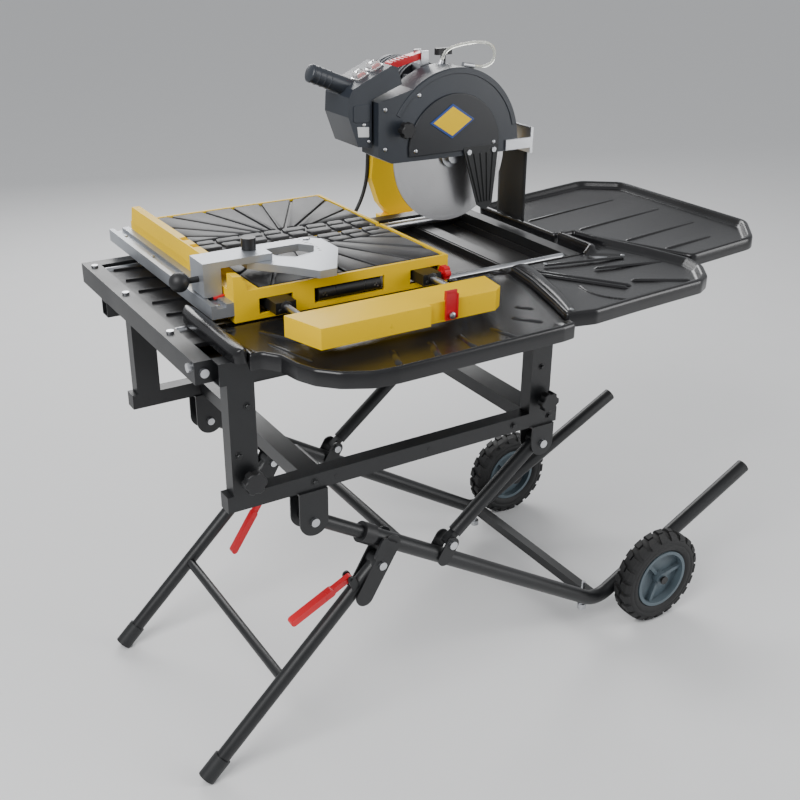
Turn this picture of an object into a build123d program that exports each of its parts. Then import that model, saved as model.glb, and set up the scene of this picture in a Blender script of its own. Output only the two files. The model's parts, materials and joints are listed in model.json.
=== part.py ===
from build123d import *
import math
import os

# A ten-inch wet tile saw on a folding wheeled stand.
# X is the cutting direction (the operator stands at -X), Y runs across the cart, Z is up.
# The origin lies on the floor, under the middle of the whole machine. All sizes are in millimetres.

# ---------------------------------------------------------------- driving dimensions
# Stand
SIDE_Y = 217.0            # both side planes of the stand lie this far from the middle
RAIL = 28.0               # square tube of the upper rails
RAIL_TOP = 552.0
RAIL_X = (-568.0, 75.0)
WALL = 2.0                # steel tube wall
POST_X = (-561.0, 14.0)   # left edges of the posts
POST_W = 44.0
POST_TOP_FRONT = 740.0
POST_TOP_REAR = 712.0
FOLD_PIVOT = (-425.0, 467.0)     # (x, z) of the pivot under the left brackets
STRUT_PIVOT = (46.0, 487.0)      # under the right brackets
SADDLE_PIVOT = (-147.0, 331.0)   # lower end of the struts, on the long tubes
LEG_PIVOT = (-296.0, 338.0)
TUBE_BEND = (237.0, 58.0)
HANDLE_END = (637.0, 264.0)
FOOT = (-630.0, 15.0)
TUBE_R = 15.0             # long outer tubes
INNER_R = 12.0            # telescoping inner tubes
STRUT_R = 13.0
LEG_R = 13.0
FIT = 0.06                # radial running clearance
KNOB_FIT = 0.1            # radial clearance of the clamp knobs in the posts' walls
COLLAR_AT = 113.0         # distance of the outer tube's mouth from the fold pivot
CHEEK_GAP = 15.4          # half gap between the cheeks of every bracket
CHEEK_T = 3.0
BOLT_R = 4.0
EYE_HALF = 14.0           # half width of the eyes between the cheeks
WHEEL = (363.0, 102.0)
WHEEL_R = 102.0
WHEEL_Y = 260.0
WHEEL_W = 44.0
HUB_R = 64.0
AXLE_R = 6.0
# Saw frame
FRAME_TOP = 776.0
FRAME_H = 36.0
FRAME_X = (-600.0, 239.0)
FRAME_Y = (-231.0, 335.0)
BEAM_W = 28.0                # the left beam
BEAM_Y = (-206.0, 335.0)
GUIDE_R = 8.0             # round rails that the cart rolls on
GUIDE_Y = (-60.0, 285.0)
# Cart
CART_X = (-487.0, -83.0)
CART_Y = (-100.0, 376.0)
CART_Z = (780.0, 830.0)
DECK_Z = (818.0, 823.0)
CART_WALL = 6.0
BLADE_Y = 130.0
SLOT_W = 10.0
FENCE_X = (-487.0, -442.0)
FENCE_TOP = 857.0
# Head
BLADE = (73.0, 942.0)     # (x, z) of the arbor
BLADE_R = 127.0
BLADE_T = 2.4
ARBOR_R = 7.94
GUARD_Y = (98.0, 158.0)
GUARD_C = (60.0, 960.0)   # centre of the guard's round top
GUARD_R = 150.0
HEAD_PIVOT = (195.0, 1003.0)
MOTOR = (45.0, 1055.0)
MOTOR_R = 55.0
# Trays
TRAY_FLOOR = 778.0
TRAY_RIM = 790.0
TRAY_WALL = 3.0


# ---------------------------------------------------------------- helpers
def block(x, y, z):
    """A box between two limits on each axis."""
    size = [abs(v[1] - v[0]) for v in (x, y, z)]
    middle = [(v[0] + v[1]) / 2 for v in (x, y, z)]
    return Pos(*middle) * Box(*size)


def rod(start, end, radius):
    """A round bar from one point to another."""
    start, end = Vector(*start), Vector(*end)
    plane = Plane(origin=start, z_dir=end - start)
    return plane * extrude(Circle(radius), (end - start).length)


def cross_rod(xz, y, radius):
    """A round bar along Y through an (x, z) point."""
    return rod((xz[0], y[0], xz[1]), (xz[0], y[1], xz[1]), radius)


def side_plate(outline, y):
    """A plate that stands in the XZ plane between two Y limits; outline is a list of (x, z)."""
    plane = Plane(origin=(0, y[0], 0), x_dir=(1, 0, 0), z_dir=(0, -1, 0))
    face = plane * make_face(Polyline(*outline, close=True))
    return extrude(face, y[1] - y[0], dir=(0, 1, 0))


def flat_plate(outline, z):
    """A plate that lies in the XY plane between two Z limits."""
    return extrude(Pos(0, 0, z[0]) * make_face(Polyline(*outline, close=True)), z[1] - z[0])


def square_tube(x, y, z, along):
    """A hollow rectangular tube, open at the two ends of its long axis."""
    inner = [(v[0] + WALL, v[1] - WALL) for v in (x, y, z)]
    inner["XYZ".index(along)] = [(v[0] - 1, v[1] + 1) for v in (x, y, z)]["XYZ".index(along)]
    return block(x, y, z) - block(*inner)


def stadium(start, end, radius, y):
    """A plate with two round ends, between two (x, z) points."""
    direction = Vector(end[0] - start[0], 0, end[1] - start[1]).normalized()
    side = Vector(-direction.Z, 0, direction.X) * radius
    corners = [(start[0] + side.X, start[1] + side.Z), (end[0] + side.X, end[1] + side.Z),
               (end[0] - side.X, end[1] - side.Z), (start[0] - side.X, start[1] - side.Z)]
    return side_plate(corners, y) + cross_rod(start, y, radius) + cross_rod(end, y, radius)


def towards(start, end, distance):
    """The (x, z) point at a distance from start on the line to end."""
    length = math.dist(start, end)
    return tuple(a + (b - a) * distance / length for a, b in zip(start, end))


def line_angle(start, end):
    return math.degrees(math.atan2(end[1] - start[1], end[0] - start[0]))


def offset_in(start, end, along, across):
    """The (x, z) point beside the line from start to end."""
    a = math.radians(line_angle(start, end))
    return (start[0] + along * math.cos(a) - across * math.sin(a),
            start[1] + along * math.sin(a) + across * math.cos(a))


def both_sides(shape):
    """The shape and its mirror image in the middle plane of the stand."""
    return Compound(children=[*shape.solids(), *mirror(shape, about=Plane.XZ).solids()])


def group(*shapes):
    """Separate solids kept in one node."""
    return Compound(children=[s for shape in shapes for s in shape.solids()])


def save(name, shape):
    export_step(shape, f"parts/{name}.step")
    print(f"{name}: {len(shape.solids())} solids, {sum(s.volume for s in shape.solids()):.0f} mm3")


def cheeks(outline_plate):
    """Two equal plates on both sides of the stand's side plane; outline_plate makes one from Y limits."""
    inner, outer = CHEEK_GAP, CHEEK_GAP + CHEEK_T
    near = outline_plate((SIDE_Y - outer, SIDE_Y - inner))
    far = outline_plate((SIDE_Y + inner, SIDE_Y + outer))
    return [near, far]


# ---------------------------------------------------------------- stand
def stand_rail():
    half = RAIL / 2
    return square_tube(RAIL_X, (SIDE_Y - half, SIDE_Y + half), (RAIL_TOP - RAIL, RAIL_TOP), "X")


def rail_caps():
    """Plastic plugs with a thin head on each end of the rails."""
    half = RAIL / 2
    caps = []
    for x, out in ((RAIL_X[0], -1), (RAIL_X[1], 1)):
        head = block((x, x + out * 3), (SIDE_Y - half, SIDE_Y + half), (RAIL_TOP - RAIL, RAIL_TOP))
        inside = (SIDE_Y - half + WALL, SIDE_Y + half - WALL)
        plug = block((x - out * 12, x), inside, (RAIL_TOP - RAIL + WALL, RAIL_TOP - WALL))
        caps.append(head + plug)
    return both_sides(group(*caps))


def stand_cross_bars():
    reach = SIDE_Y - RAIL / 2
    left = square_tube((-437, -401), (-reach, reach), (RAIL_TOP - 26, RAIL_TOP), "Y")
    right = square_tube((18, 62), (-reach, reach), (RAIL_TOP - 26, RAIL_TOP), "Y")
    return group(left, right)


def pivot_brackets():
    """U brackets welded under the rails, with round lower ends."""
    rail_bottom = RAIL_TOP - RAIL
    brackets = []
    for pivot, half in ((FOLD_PIVOT, 26), (STRUT_PIVOT, 24)):
        x = (pivot[0] - half, pivot[0] + half)

        def plate(y, x=x, pivot=pivot, half=half):
            body = block(x, y, (pivot[1], rail_bottom - CHEEK_T))
            flap = cross_rod(pivot, y, half) & block(x, y, (pivot[1] - half, pivot[1]))
            return body + flap - cross_rod(pivot, (y[0] - 1, y[1] + 1), BOLT_R + FIT)

        outer = CHEEK_GAP + CHEEK_T
        web = block(x, (SIDE_Y - outer, SIDE_Y + outer), (rail_bottom - CHEEK_T, rail_bottom))
        near, far = cheeks(plate)
        brackets.append(near + far + web)
    return both_sides(group(*brackets))


def stand_bolts():
    """Pivot bolts with washers and nuts, and the bolts of the saw frame."""
    bolts = []
    reach = CHEEK_GAP + CHEEK_T
    for pivot in (FOLD_PIVOT, STRUT_PIVOT):
        shank = cross_rod(pivot, (SIDE_Y - reach, SIDE_Y + reach), BOLT_R)
        head = cross_rod(pivot, (SIDE_Y + reach, SIDE_Y + reach + 5), 7.5)
        nut = cross_rod(pivot, (SIDE_Y - reach - 6, SIDE_Y - reach), 7)
        bolts.append(shank + head + nut)
    bolts = both_sides(group(*bolts)).solids()
    beam_x = FRAME_X[0] + BEAM_W / 2
    for y in (-76, 131, 300):
        bolts.append(rod((beam_x, y, FRAME_TOP), (beam_x, y, FRAME_TOP + 4), 6))
    bolts.append(rod((beam_x, BEAM_Y[0], 758), (beam_x, BEAM_Y[0] - 6, 758), 7))
    bolts.append(rod((FRAME_X[0], -192, 764), (FRAME_X[0] - 6, -192, 764), 7))
    return group(*bolts)


def frame_posts():
    """Four rectangular posts between the rails and the saw frame."""
    half = RAIL / 2
    posts = []
    for x in POST_X:
        for side, top in ((-1, POST_TOP_FRONT), (1, POST_TOP_REAR)):
            y = (side * SIDE_Y - half, side * SIDE_Y + half)
            post = square_tube((x, x + POST_W), y, (RAIL_TOP, top), "Z")
            if side < 0:
                knob_x = x + POST_W * 0.66
                post -= rod((knob_x, y[0] - 1, 577), (knob_x, y[0] + WALL + 1, 577), 5 + KNOB_FIT)
            posts.append(post)
    return group(*posts)


def star_knob(radius, thickness, lobes=6):
    """A lobed knob head on the XY plane, growing along +Z."""
    notch = radius * 0.42
    head = extrude(Circle(radius), thickness)
    for i in range(lobes):
        a = 2 * math.pi * (i + 0.5) / lobes
        reach = radius * 1.27
        head -= Pos(reach * math.cos(a), reach * math.sin(a), 0) * extrude(Circle(notch), thickness)
    return chamfer(head.faces().sort_by(Axis.Z)[-1].edges(), 1.2)


def post_knob(x):
    """A clamp knob on the near face of a front post."""
    face_y = -SIDE_Y - RAIL / 2
    knob_x = x + POST_W * 0.66
    plane = Plane(origin=(knob_x, face_y - 10, 577), x_dir=(1, 0, 0), z_dir=(0, -1, 0))
    return plane * star_knob(19, 14) + rod((knob_x, face_y - 11, 577), (knob_x, face_y + 14, 577), 5)


# ---------------------------------------------------------------- folding tubes
def outer_tube():
    """The long tube: from the collar down to the bend, then up to the handle."""
    mouth = towards(FOLD_PIVOT, TUBE_BEND, COLLAR_AT)
    bend_r = 60
    path = Plane(origin=(0, SIDE_Y, 0), x_dir=(1, 0, 0), z_dir=(0, -1, 0)) * FilletPolyline(
        mouth, TUBE_BEND, HANDLE_END, radius=bend_r)
    section = Plane(origin=path @ 0, z_dir=path % 0) * Circle(TUBE_R)
    tube = sweep(section, path)
    bore_end = towards(FOLD_PIVOT, TUBE_BEND, 740)
    tube -= rod((mouth[0], SIDE_Y, mouth[1]), (bore_end[0], SIDE_Y, bore_end[1]), INNER_R + FIT)
    handle_bore = towards(HANDLE_END, TUBE_BEND, 400)
    tube -= rod((HANDLE_END[0], SIDE_Y, HANDLE_END[1]), (handle_bore[0], SIDE_Y, handle_bore[1]), INNER_R)
    return tube


def tube_collars():
    """Clamp collars round the mouths of the long tubes, and plugs in the handle ends."""
    start = towards(FOLD_PIVOT, TUBE_BEND, COLLAR_AT)
    end = towards(FOLD_PIVOT, TUBE_BEND, COLLAR_AT + 26)
    ring = rod((start[0], SIDE_Y, start[1]), (end[0], SIDE_Y, end[1]), TUBE_R + 4)
    ring -= rod((start[0], SIDE_Y, start[1]), (end[0], SIDE_Y, end[1]), TUBE_R)
    beyond = towards(TUBE_BEND, HANDLE_END, math.dist(TUBE_BEND, HANDLE_END) + 4)
    cap = rod((HANDLE_END[0], SIDE_Y, HANDLE_END[1]), (beyond[0], SIDE_Y, beyond[1]), TUBE_R)
    plug_end = towards(HANDLE_END, TUBE_BEND, 15)
    cap += rod((plug_end[0], SIDE_Y, plug_end[1]), (HANDLE_END[0], SIDE_Y, HANDLE_END[1]), INNER_R)
    return both_sides(group(ring, cap))


def tube_cross_bars():
    """The round bar between the long tubes and the square bar between the bends."""
    reach = SIDE_Y - TUBE_R
    upper = (-244.0, 355.0)
    low = (237.0, 62.0)
    round_bar = cross_rod(upper, (-reach, reach), 11) - cross_rod(upper, (-reach + 1, reach - 1), 9)
    square_bar = block((low[0] - 10, low[0] + 10), (-reach, reach), (low[1] - 10, low[1] + 10))
    square_bar -= block((low[0] - 8, low[0] + 8), (-reach + 1, reach - 1), (low[1] - 8, low[1] + 8))
    return group(round_bar, square_bar)


def tube_saddles():
    """Cheeks on the long tubes that hold the struts and the legs."""
    axis_below_saddle = offset_in(FOLD_PIVOT, TUBE_BEND, 308, 0)
    axis_above_leg = offset_in(FOLD_PIVOT, TUBE_BEND, 176, 0)
    leg_low = (-330.0, 282.0)
    saddle = cheeks(lambda y: stadium(axis_below_saddle, SADDLE_PIVOT, 14, y))
    plates = cheeks(lambda y: stadium(axis_above_leg, leg_low, 17, y)
                    - cross_rod(LEG_PIVOT, (y[0] - 1, y[1] + 1), BOLT_R + FIT))
    return both_sides(group(*saddle, *plates))


def tube_bolts():
    """Leg pivot bolts, the bolt heads of the struts, and the upright pins at the bends."""
    reach = CHEEK_GAP + CHEEK_T
    leg_bolt = cross_rod(LEG_PIVOT, (SIDE_Y - reach, SIDE_Y + reach), BOLT_R)
    leg_bolt += cross_rod(LEG_PIVOT, (SIDE_Y + reach, SIDE_Y + reach + 5), 7.5)
    leg_bolt += cross_rod(LEG_PIVOT, (SIDE_Y - reach - 5, SIDE_Y - reach), 7)
    head = cross_rod(SADDLE_PIVOT, (SIDE_Y + reach, SIDE_Y + reach + 5), 8)
    nut = cross_rod(SADDLE_PIVOT, (SIDE_Y - reach - 5, SIDE_Y - reach), 7.5)
    pin_x, pin_y = 222.0, SIDE_Y - TUBE_R - 7
    pin = rod((pin_x, pin_y, 34), (pin_x, pin_y, 96), 4)
    pin += rod((pin_x, pin_y, 30), (pin_x, pin_y, 42), 9)
    return both_sides(group(leg_bolt, head, nut, pin))


def wheel_axles():
    """Bosses welded to the long tubes, with the stub axles and their end caps."""
    boss = cross_rod(WHEEL, (SIDE_Y + 2, SIDE_Y + TUBE_R + 4), 14)
    axis_start = towards(TUBE_BEND, HANDLE_END, 80)
    axis_end = towards(TUBE_BEND, HANDLE_END, 220)
    boss -= rod((axis_start[0], SIDE_Y, axis_start[1]), (axis_end[0], SIDE_Y, axis_end[1]), TUBE_R)
    axle = cross_rod(WHEEL, (SIDE_Y + TUBE_R + 4, WHEEL_Y + WHEEL_W / 2 + 2), AXLE_R)
    cap = cross_rod(WHEEL, (WHEEL_Y + WHEEL_W / 2 + 2, WHEEL_Y + WHEEL_W / 2 + 5), 9)
    return both_sides(boss + axle + cap)


def inner_tube():
    """The thin tube that slides in the long tube and turns in the left bracket."""
    end = towards(FOLD_PIVOT, TUBE_BEND, 420)
    tube = rod((FOLD_PIVOT[0], SIDE_Y, FOLD_PIVOT[1]), (end[0], SIDE_Y, end[1]), INNER_R)
    tube += cross_rod(FOLD_PIVOT, (SIDE_Y - EYE_HALF, SIDE_Y + EYE_HALF), INNER_R + 2)
    core_start = towards(FOLD_PIVOT, TUBE_BEND, 20)
    tube -= rod((core_start[0], SIDE_Y, core_start[1]), (end[0], SIDE_Y, end[1]), INNER_R - WALL)
    return tube - cross_rod(FOLD_PIVOT, (SIDE_Y - 20, SIDE_Y + 20), BOLT_R + FIT)


def strut_tube():
    """The thick strut from the right bracket down to the saddle."""
    start = towards(STRUT_PIVOT, SADDLE_PIVOT, 0)
    end = towards(SADDLE_PIVOT, STRUT_PIVOT, 20)
    tube = rod((start[0], SIDE_Y, start[1]), (end[0], SIDE_Y, end[1]), STRUT_R)
    tube += cross_rod(STRUT_PIVOT, (SIDE_Y - EYE_HALF, SIDE_Y + EYE_HALF), STRUT_R + 2)
    bore_a = towards(STRUT_PIVOT, SADDLE_PIVOT, 20)
    bore_b = towards(SADDLE_PIVOT, STRUT_PIVOT, 26)
    tube -= rod((bore_a[0], SIDE_Y, bore_a[1]), (bore_b[0], SIDE_Y, bore_b[1]), STRUT_R - WALL)
    eye = stadium(SADDLE_PIVOT, end, 7, (SIDE_Y - 7, SIDE_Y + 7))
    return tube + eye - cross_rod(STRUT_PIVOT, (SIDE_Y - 20, SIDE_Y + 20), BOLT_R + FIT)


def leg_tube():
    """One leg, with the lug that carries the front latch lever's pin."""
    tube = rod((LEG_PIVOT[0], SIDE_Y, LEG_PIVOT[1]), (FOOT[0], SIDE_Y, FOOT[1]), LEG_R)
    tube += cross_rod(LEG_PIVOT, (SIDE_Y - EYE_HALF, SIDE_Y + EYE_HALF), LEG_R + 2)
    inner = towards(LEG_PIVOT, FOOT, 20)
    tube -= rod((inner[0], SIDE_Y, inner[1]), (FOOT[0], SIDE_Y, FOOT[1]), LEG_R - WALL)
    return tube - cross_rod(LEG_PIVOT, (SIDE_Y - 20, SIDE_Y + 20), BOLT_R + FIT)


LEVER_PIVOT = (-352.0, 322.0)
REAR_LEVER_PIVOT = (-328.0, 274.0)
REAR_LEVER_Y = 188.0


def leg_frame():
    """Both legs and the bar between them, welded into one piece."""
    bar = cross_rod((-485, LEG_PIVOT[1] - (LEG_PIVOT[0] + 485) * (LEG_PIVOT[1] - FOOT[1])
                     / (LEG_PIVOT[0] - FOOT[0])), (-SIDE_Y, SIDE_Y), 9)
    legs = leg_tube() + mirror(leg_tube(), about=Plane.XZ)
    near, far = -SIDE_Y - 12, -SIDE_Y + 12
    foot_of_lug = offset_in(LEG_PIVOT, FOOT, 62, 0)
    lugs = [stadium(foot_of_lug, LEVER_PIVOT, 7, y) for y in ((near, near + 4), (far - 4, far))]
    frame = legs + bar + lugs[0] + lugs[1]
    return frame + cross_rod(LEVER_PIVOT, (near - 2, far + 2), 3)


def foot_caps():
    """Rubber feet with a flat sole on the floor."""
    caps = []
    for side in (-1, 1):
        start = towards(FOOT, LEG_PIVOT, 34)
        end = towards(FOOT, LEG_PIVOT, -12)
        y = side * SIDE_Y
        cap = rod((start[0], y, start[1]), (end[0], y, end[1]), LEG_R + 3)
        cap -= rod((start[0], y, start[1]), (FOOT[0], y, FOOT[1]), LEG_R)
        cap -= block((-800, -500), (y - 40, y + 40), (-40, 0))
        caps.append(cap)
    return group(*caps)


def lever_shape(pivot, tip, thickness):
    """A latch lever: a flat catch at the pivot and a thicker grip towards the tip."""
    grip_start = towards(pivot, tip, 40)
    neck = stadium(pivot, grip_start, 5.5, (-thickness / 2 + 2, thickness / 2 - 2))
    grip = stadium(grip_start, tip, 6.5, (-thickness / 2, thickness / 2))
    return neck + grip - cross_rod(pivot, (-20, 20), 3 + FIT)


def latch_lever_front():
    return Pos(0, -SIDE_Y, 0) * lever_shape(LEVER_PIVOT, (-462, 271), 15)


def latch_lever_rear():
    return Pos(0, REAR_LEVER_Y, 0) * lever_shape(REAR_LEVER_PIVOT, (-398, 168), 14)


def lever_pin():
    """The pin that the rear latch lever turns on."""
    inner_face = SIDE_Y - CHEEK_GAP - CHEEK_T
    pin = cross_rod(REAR_LEVER_PIVOT, (REAR_LEVER_Y - 9, inner_face), 3)
    return pin + cross_rod(REAR_LEVER_PIVOT, (REAR_LEVER_Y - 11, REAR_LEVER_Y - 9), 6)


def latch_catches():
    """Black catches on the outer faces of the leg plates."""
    outer_face = SIDE_Y + CHEEK_GAP + CHEEK_T
    y = (outer_face, outer_face + 5)
    return both_sides(stadium((-292, 385), (-304, 360), 8, y) + stadium((-292, 385), (-270, 371), 6, y))


def wheel_hub(side):
    """A three-spoke wheel centre with a rim, a web and a bore for the axle."""
    y = sorted((side * (WHEEL_Y - WHEEL_W / 2 + 4), side * (WHEEL_Y + WHEEL_W / 2 - 2)))
    rim = cross_rod(WHEEL, y, HUB_R) - cross_rod(WHEEL, y, HUB_R - 7)
    web_y = (side * WHEEL_Y - 3, side * WHEEL_Y + 3)
    hub = rim + cross_rod(WHEEL, web_y, HUB_R - 6) + cross_rod(WHEEL, y, 14)
    spoke_y = (side * WHEEL_Y - 12, side * WHEEL_Y + 12)
    for i in range(3):
        a = math.radians(10 + 120 * i)
        end = (WHEEL[0] + (HUB_R - 4) * math.cos(a), WHEEL[1] + (HUB_R - 4) * math.sin(a))
        hub += stadium(WHEEL, end, 4, spoke_y)
    return hub - cross_rod(WHEEL, (y[0] - 1, y[1] + 1), AXLE_R + FIT)


def wheel_tyre(side):
    """A solid tyre with a rounded tread."""
    half = WHEEL_W / 2
    profile = Plane.XZ * make_face(
        Polyline((HUB_R, -half + 4), (HUB_R + 8, -half), (WHEEL_R - 12, -half)).edges()
        + ThreePointArc((WHEEL_R - 12, -half), (WHEEL_R, 0), (WHEEL_R - 12, half)).edges()
        + Polyline((WHEEL_R - 12, half), (HUB_R + 8, half), (HUB_R, half - 4), (HUB_R, -half + 4)).edges())
    tyre = revolve(profile, Axis.Z)
    return Pos(WHEEL[0], side * WHEEL_Y, WHEEL[1]) * Rot(90, 0, 0) * tyre


# ---------------------------------------------------------------- saw frame and trays
def saw_frame():
    """The welded frame: the left beam, three side rails and two right cross members."""
    half = RAIL / 2
    z = (FRAME_TOP - FRAME_H, FRAME_TOP)
    inner = FRAME_X[0] + BEAM_W
    beam = block((FRAME_X[0], inner), BEAM_Y, z)
    beam -= block((FRAME_X[0] + WALL, inner - WALL), (BEAM_Y[0] + 3, BEAM_Y[1] - 3), (z[0] + WALL, z[1] - WALL))
    rail_x = (inner, FRAME_X[1] - RAIL)
    front = square_tube(rail_x, (-SIDE_Y - half, -SIDE_Y + half), z, "X")
    rear = square_tube(rail_x, (FRAME_Y[1] - RAIL, FRAME_Y[1]), z, "X")
    middle_z = (POST_TOP_REAR, FRAME_TOP - FRAME_H)
    middle = square_tube(FRAME_X, (SIDE_Y - half, SIDE_Y + half), middle_z, "X")
    end = square_tube((FRAME_X[1] - RAIL, FRAME_X[1]), FRAME_Y, z, "Y")
    cross_y = (-SIDE_Y + half, FRAME_Y[1] - RAIL)
    cross = square_tube((101, 129), cross_y, (740, 758), "Y")
    return beam + front + rear + middle + end + cross


def guide_rails():
    """Two round rails under the cart, seated in the left beam and the right cross member."""
    z = FRAME_TOP - GUIDE_R
    ends = (FRAME_X[0] + BEAM_W, FRAME_X[1] - RAIL)
    return group(*[rod((ends[0], y, z), (ends[1], y, z), GUIDE_R) for y in GUIDE_Y])


PAN_Y = (-198.0, 305.0)
PAN_Z = (740.5, 757.0)


def open_pan(x):
    """A shallow black pan that hangs between the rails."""
    wall = 3
    pan = block(x, PAN_Y, PAN_Z)
    return pan - block((x[0] + wall, x[1] - wall), (PAN_Y[0] + wall, PAN_Y[1] - wall), (PAN_Z[0] + wall, PAN_Z[1] + 1))


def pan_apron():
    """The splash apron inside the left beam, with wedge ribs and a raised bar at its near end."""
    x = FRAME_X[0] + BEAM_W
    z = (768, 771)
    apron = block((x, -492), (-112, 306), z) + block((x, -541), (-136, -112), (z[0], z[1] + 4))
    for i in range(5):
        y = 10 + i * 66
        wedge = make_face(Polyline((-560, y), (-500, y - 9), (-500, y + 9), close=True))
        apron += extrude(Pos(0, 0, z[1]) * wedge, 4)
    for y in GUIDE_Y:
        apron -= block((x - 1, -491), (y - GUIDE_R - 1, y + GUIDE_R + 1), (z[0] - 1, z[1] + 5))
    return apron


def tray(outline, floor, rim, skirt):
    """A plastic tray: a floor, an upright rim and a skirt that hangs outside."""
    shell = flat_plate(outline, (skirt, rim))
    face = make_face(Polyline(*outline, close=True))
    inner = offset(face, -TRAY_WALL)
    shell -= extrude(Pos(0, 0, floor + TRAY_WALL) * inner, rim - floor)
    return shell - extrude(Pos(0, 0, skirt - 1) * inner, floor - skirt + 1)


def cart_path():
    """The space over the trays that the sliding cart and its rollers pass through."""
    over = block((-100, 250), (CART_Y[0] - 6, 30), (CART_Z[0] - 0.8, 900))
    return over + block((-100, FRAME_X[1] + 2), (-84, 30), (700, 900))


def tray_boss():
    """The tall rounded bar along the left end of the front tray."""
    bar = block((-554, -526), (-250, -30), (FRAME_TOP + 0.5, 800))
    return fillet(bar.edges().filter_by(Axis.Y).sort_by(Axis.Z)[-2:], 8)


def front_tray():
    outline = [(-530, -250), (-512, -250), (-494, -275), (-487, -315), (-474, -345), (-448, -372), (-405, -395),
               (-366, -398), (-60, -393), (-33, -389), (-29.5, -356), (-7.5, -294), (23.5, -195), (37.5, -126),
               (37.5, -84), (-75, -84), (-75, -112), (-530, -112)]
    body = tray(outline, TRAY_FLOOR, TRAY_RIM, 764)
    body -= block((-800, 100), (-236, 0), (700, FRAME_TOP + 0.5))
    return body - cart_path() + tray_boss()


RIGHT_TRAY = [(-27, -356), (28, -368), (130, -358), (288, -346), (318, -330), (352, -286), (364, -240), (344, -156),
              (310, -50), (300, 6), (290, 12), (255, 12), (255, -84), (40, -84), (40, -126), (26, -195), (-5, -294)]
REAR_TRAY_SKIRT = 758.0
REAR_TRAY_TILT = -4.0     # the outer end is the higher one
REAR_TRAY_AXIS = Axis((264, 0, 766), (0, 1, 0))
REAR_TRAY = [(264, 30), (296, 30), (386, -228), (550, -228), (617, -150), (617, 220), (550, 292), (264, 292)]


def right_tray():
    body = tray(RIGHT_TRAY, TRAY_FLOOR, TRAY_RIM + 3, 768)
    body -= block((-100, FRAME_X[1] + 2), (-236, 100), (700, FRAME_TOP + 0.5))
    return body - cart_path()


def rear_tray():
    """The big tray behind the blade, which drains back towards the pan."""
    return tray(REAR_TRAY, 766, 782, REAR_TRAY_SKIRT).rotate(REAR_TRAY_AXIS, REAR_TRAY_TILT)


def tray_brackets():
    """Steel straps that carry the two outer trays on the frame."""
    low = REAR_TRAY_SKIRT - 4
    straps = [block((FRAME_X[1] + 1, 420), (y - 12, y + 12), (low, low + 4)).rotate(REAR_TRAY_AXIS, REAR_TRAY_TILT)
              for y in (110, 240)]
    straps += [block((FRAME_X[1], 300), (-130, -104), (TRAY_FLOOR - 4, TRAY_FLOOR))]
    return group(*straps)


# ---------------------------------------------------------------- cart
def cart_casting():
    """The yellow cart: an open-bottomed casting with a slotted deck and three front windows."""
    body = block(CART_X, CART_Y, CART_Z)
    w = CART_WALL
    inner_x, inner_y = (CART_X[0] + w, CART_X[1] - w), (CART_Y[0] + w, CART_Y[1] - w)
    body -= block(inner_x, inner_y, (CART_Z[0] - 1, DECK_Z[0]))
    body -= block((FENCE_X[1], CART_X[1] - w), inner_y, (DECK_Z[1], CART_Z[1] + 1))
    slot_y = (BLADE_Y - SLOT_W / 2, BLADE_Y + SLOT_W / 2)
    body -= block((FENCE_X[1] + 10, CART_X[1] + 1), slot_y, (CART_Z[0] + 8, CART_Z[1] + 1))
    for x in ((-444, -384), (-345, -212), (-160, -100)):
        body -= block(x, (CART_Y[0] - 1, CART_Y[0] + w + 1), (CART_Z[0] + 8, DECK_Z[0] - 4))
    post = [(CART_X[0], CART_Z[1] - 8), (CART_X[0], FENCE_TOP), (CART_X[0] + 15, FENCE_TOP - 2),
            (CART_X[0] + 24, CART_Z[1] + 2), (CART_X[0] + 24, CART_Z[1] - 8)]
    return body + side_plate(post, (CART_Y[0], CART_Y[0] + 24))


def cart_mats():
    """Two rubber mats on the deck, one on each side of the blade slot."""
    x = (FENCE_X[1], CART_X[1] - CART_WALL)
    w = CART_WALL
    front = block(x, (CART_Y[0] + w, BLADE_Y - SLOT_W / 2 - 1), (DECK_Z[1], CART_Z[1]))
    rear = block(x, (BLADE_Y + SLOT_W / 2 + 1, CART_Y[1] - w), (DECK_Z[1], CART_Z[1]))
    return group(front, rear)


def cart_fence():
    """The fence: a sloped bar along the operator's edge, notched in line with the blade."""
    outline = [(FENCE_X[0], CART_Z[1]), (FENCE_X[0] + 3, FENCE_TOP), (FENCE_X[0] + 18, FENCE_TOP),
               (FENCE_X[1], CART_Z[1])]
    bar = side_plate(outline, (-8, 372))
    for y in (BLADE_Y, BLADE_Y - 46):
        bar -= block((FENCE_X[0] + 6, FENCE_X[1] + 1), (y - 9, y + 9), (836, FENCE_TOP + 1))
    return bar


def fence_ruler():
    """The grey extrusion beside the fence, with a groove for the guide's clamp."""
    bar = block((-525, CART_X[0]), (-100, 392), (793, 815))
    return bar - block((-516, -500), (-101, 393), (809, 816))


ROD_X = (-414.0, -138.0)
ROD_Z = 806.0
ROD_R = 6.0


def rod_receivers():
    """The blocks in the cart's front windows that the extension rods slide in."""
    blocks = []
    for x in ROD_X:
        piece = block((x - 18, x + 18), (-135, -76), (ROD_Z - 11, ROD_Z + 8))
        piece -= rod((x, -136, ROD_Z), (x, -75, ROD_Z), ROD_R + FIT)
        blocks.append(piece)
    last = blocks[-1] - rod((ROD_X[1] + 5, -119, ROD_Z), (ROD_X[1] + 19, -119, ROD_Z), 4 + FIT)
    return group(blocks[0], last)


def cart_roller_bar():
    """The dark cross tube behind the middle window."""
    return rod((-350, -60, 797), (-206, -60, 797), 13) - rod((-351, -60, 797), (-205, -60, 797), 9)


ROLLER_R = 14.0
ROLLER_X = (-456.0, -112.0)


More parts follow.
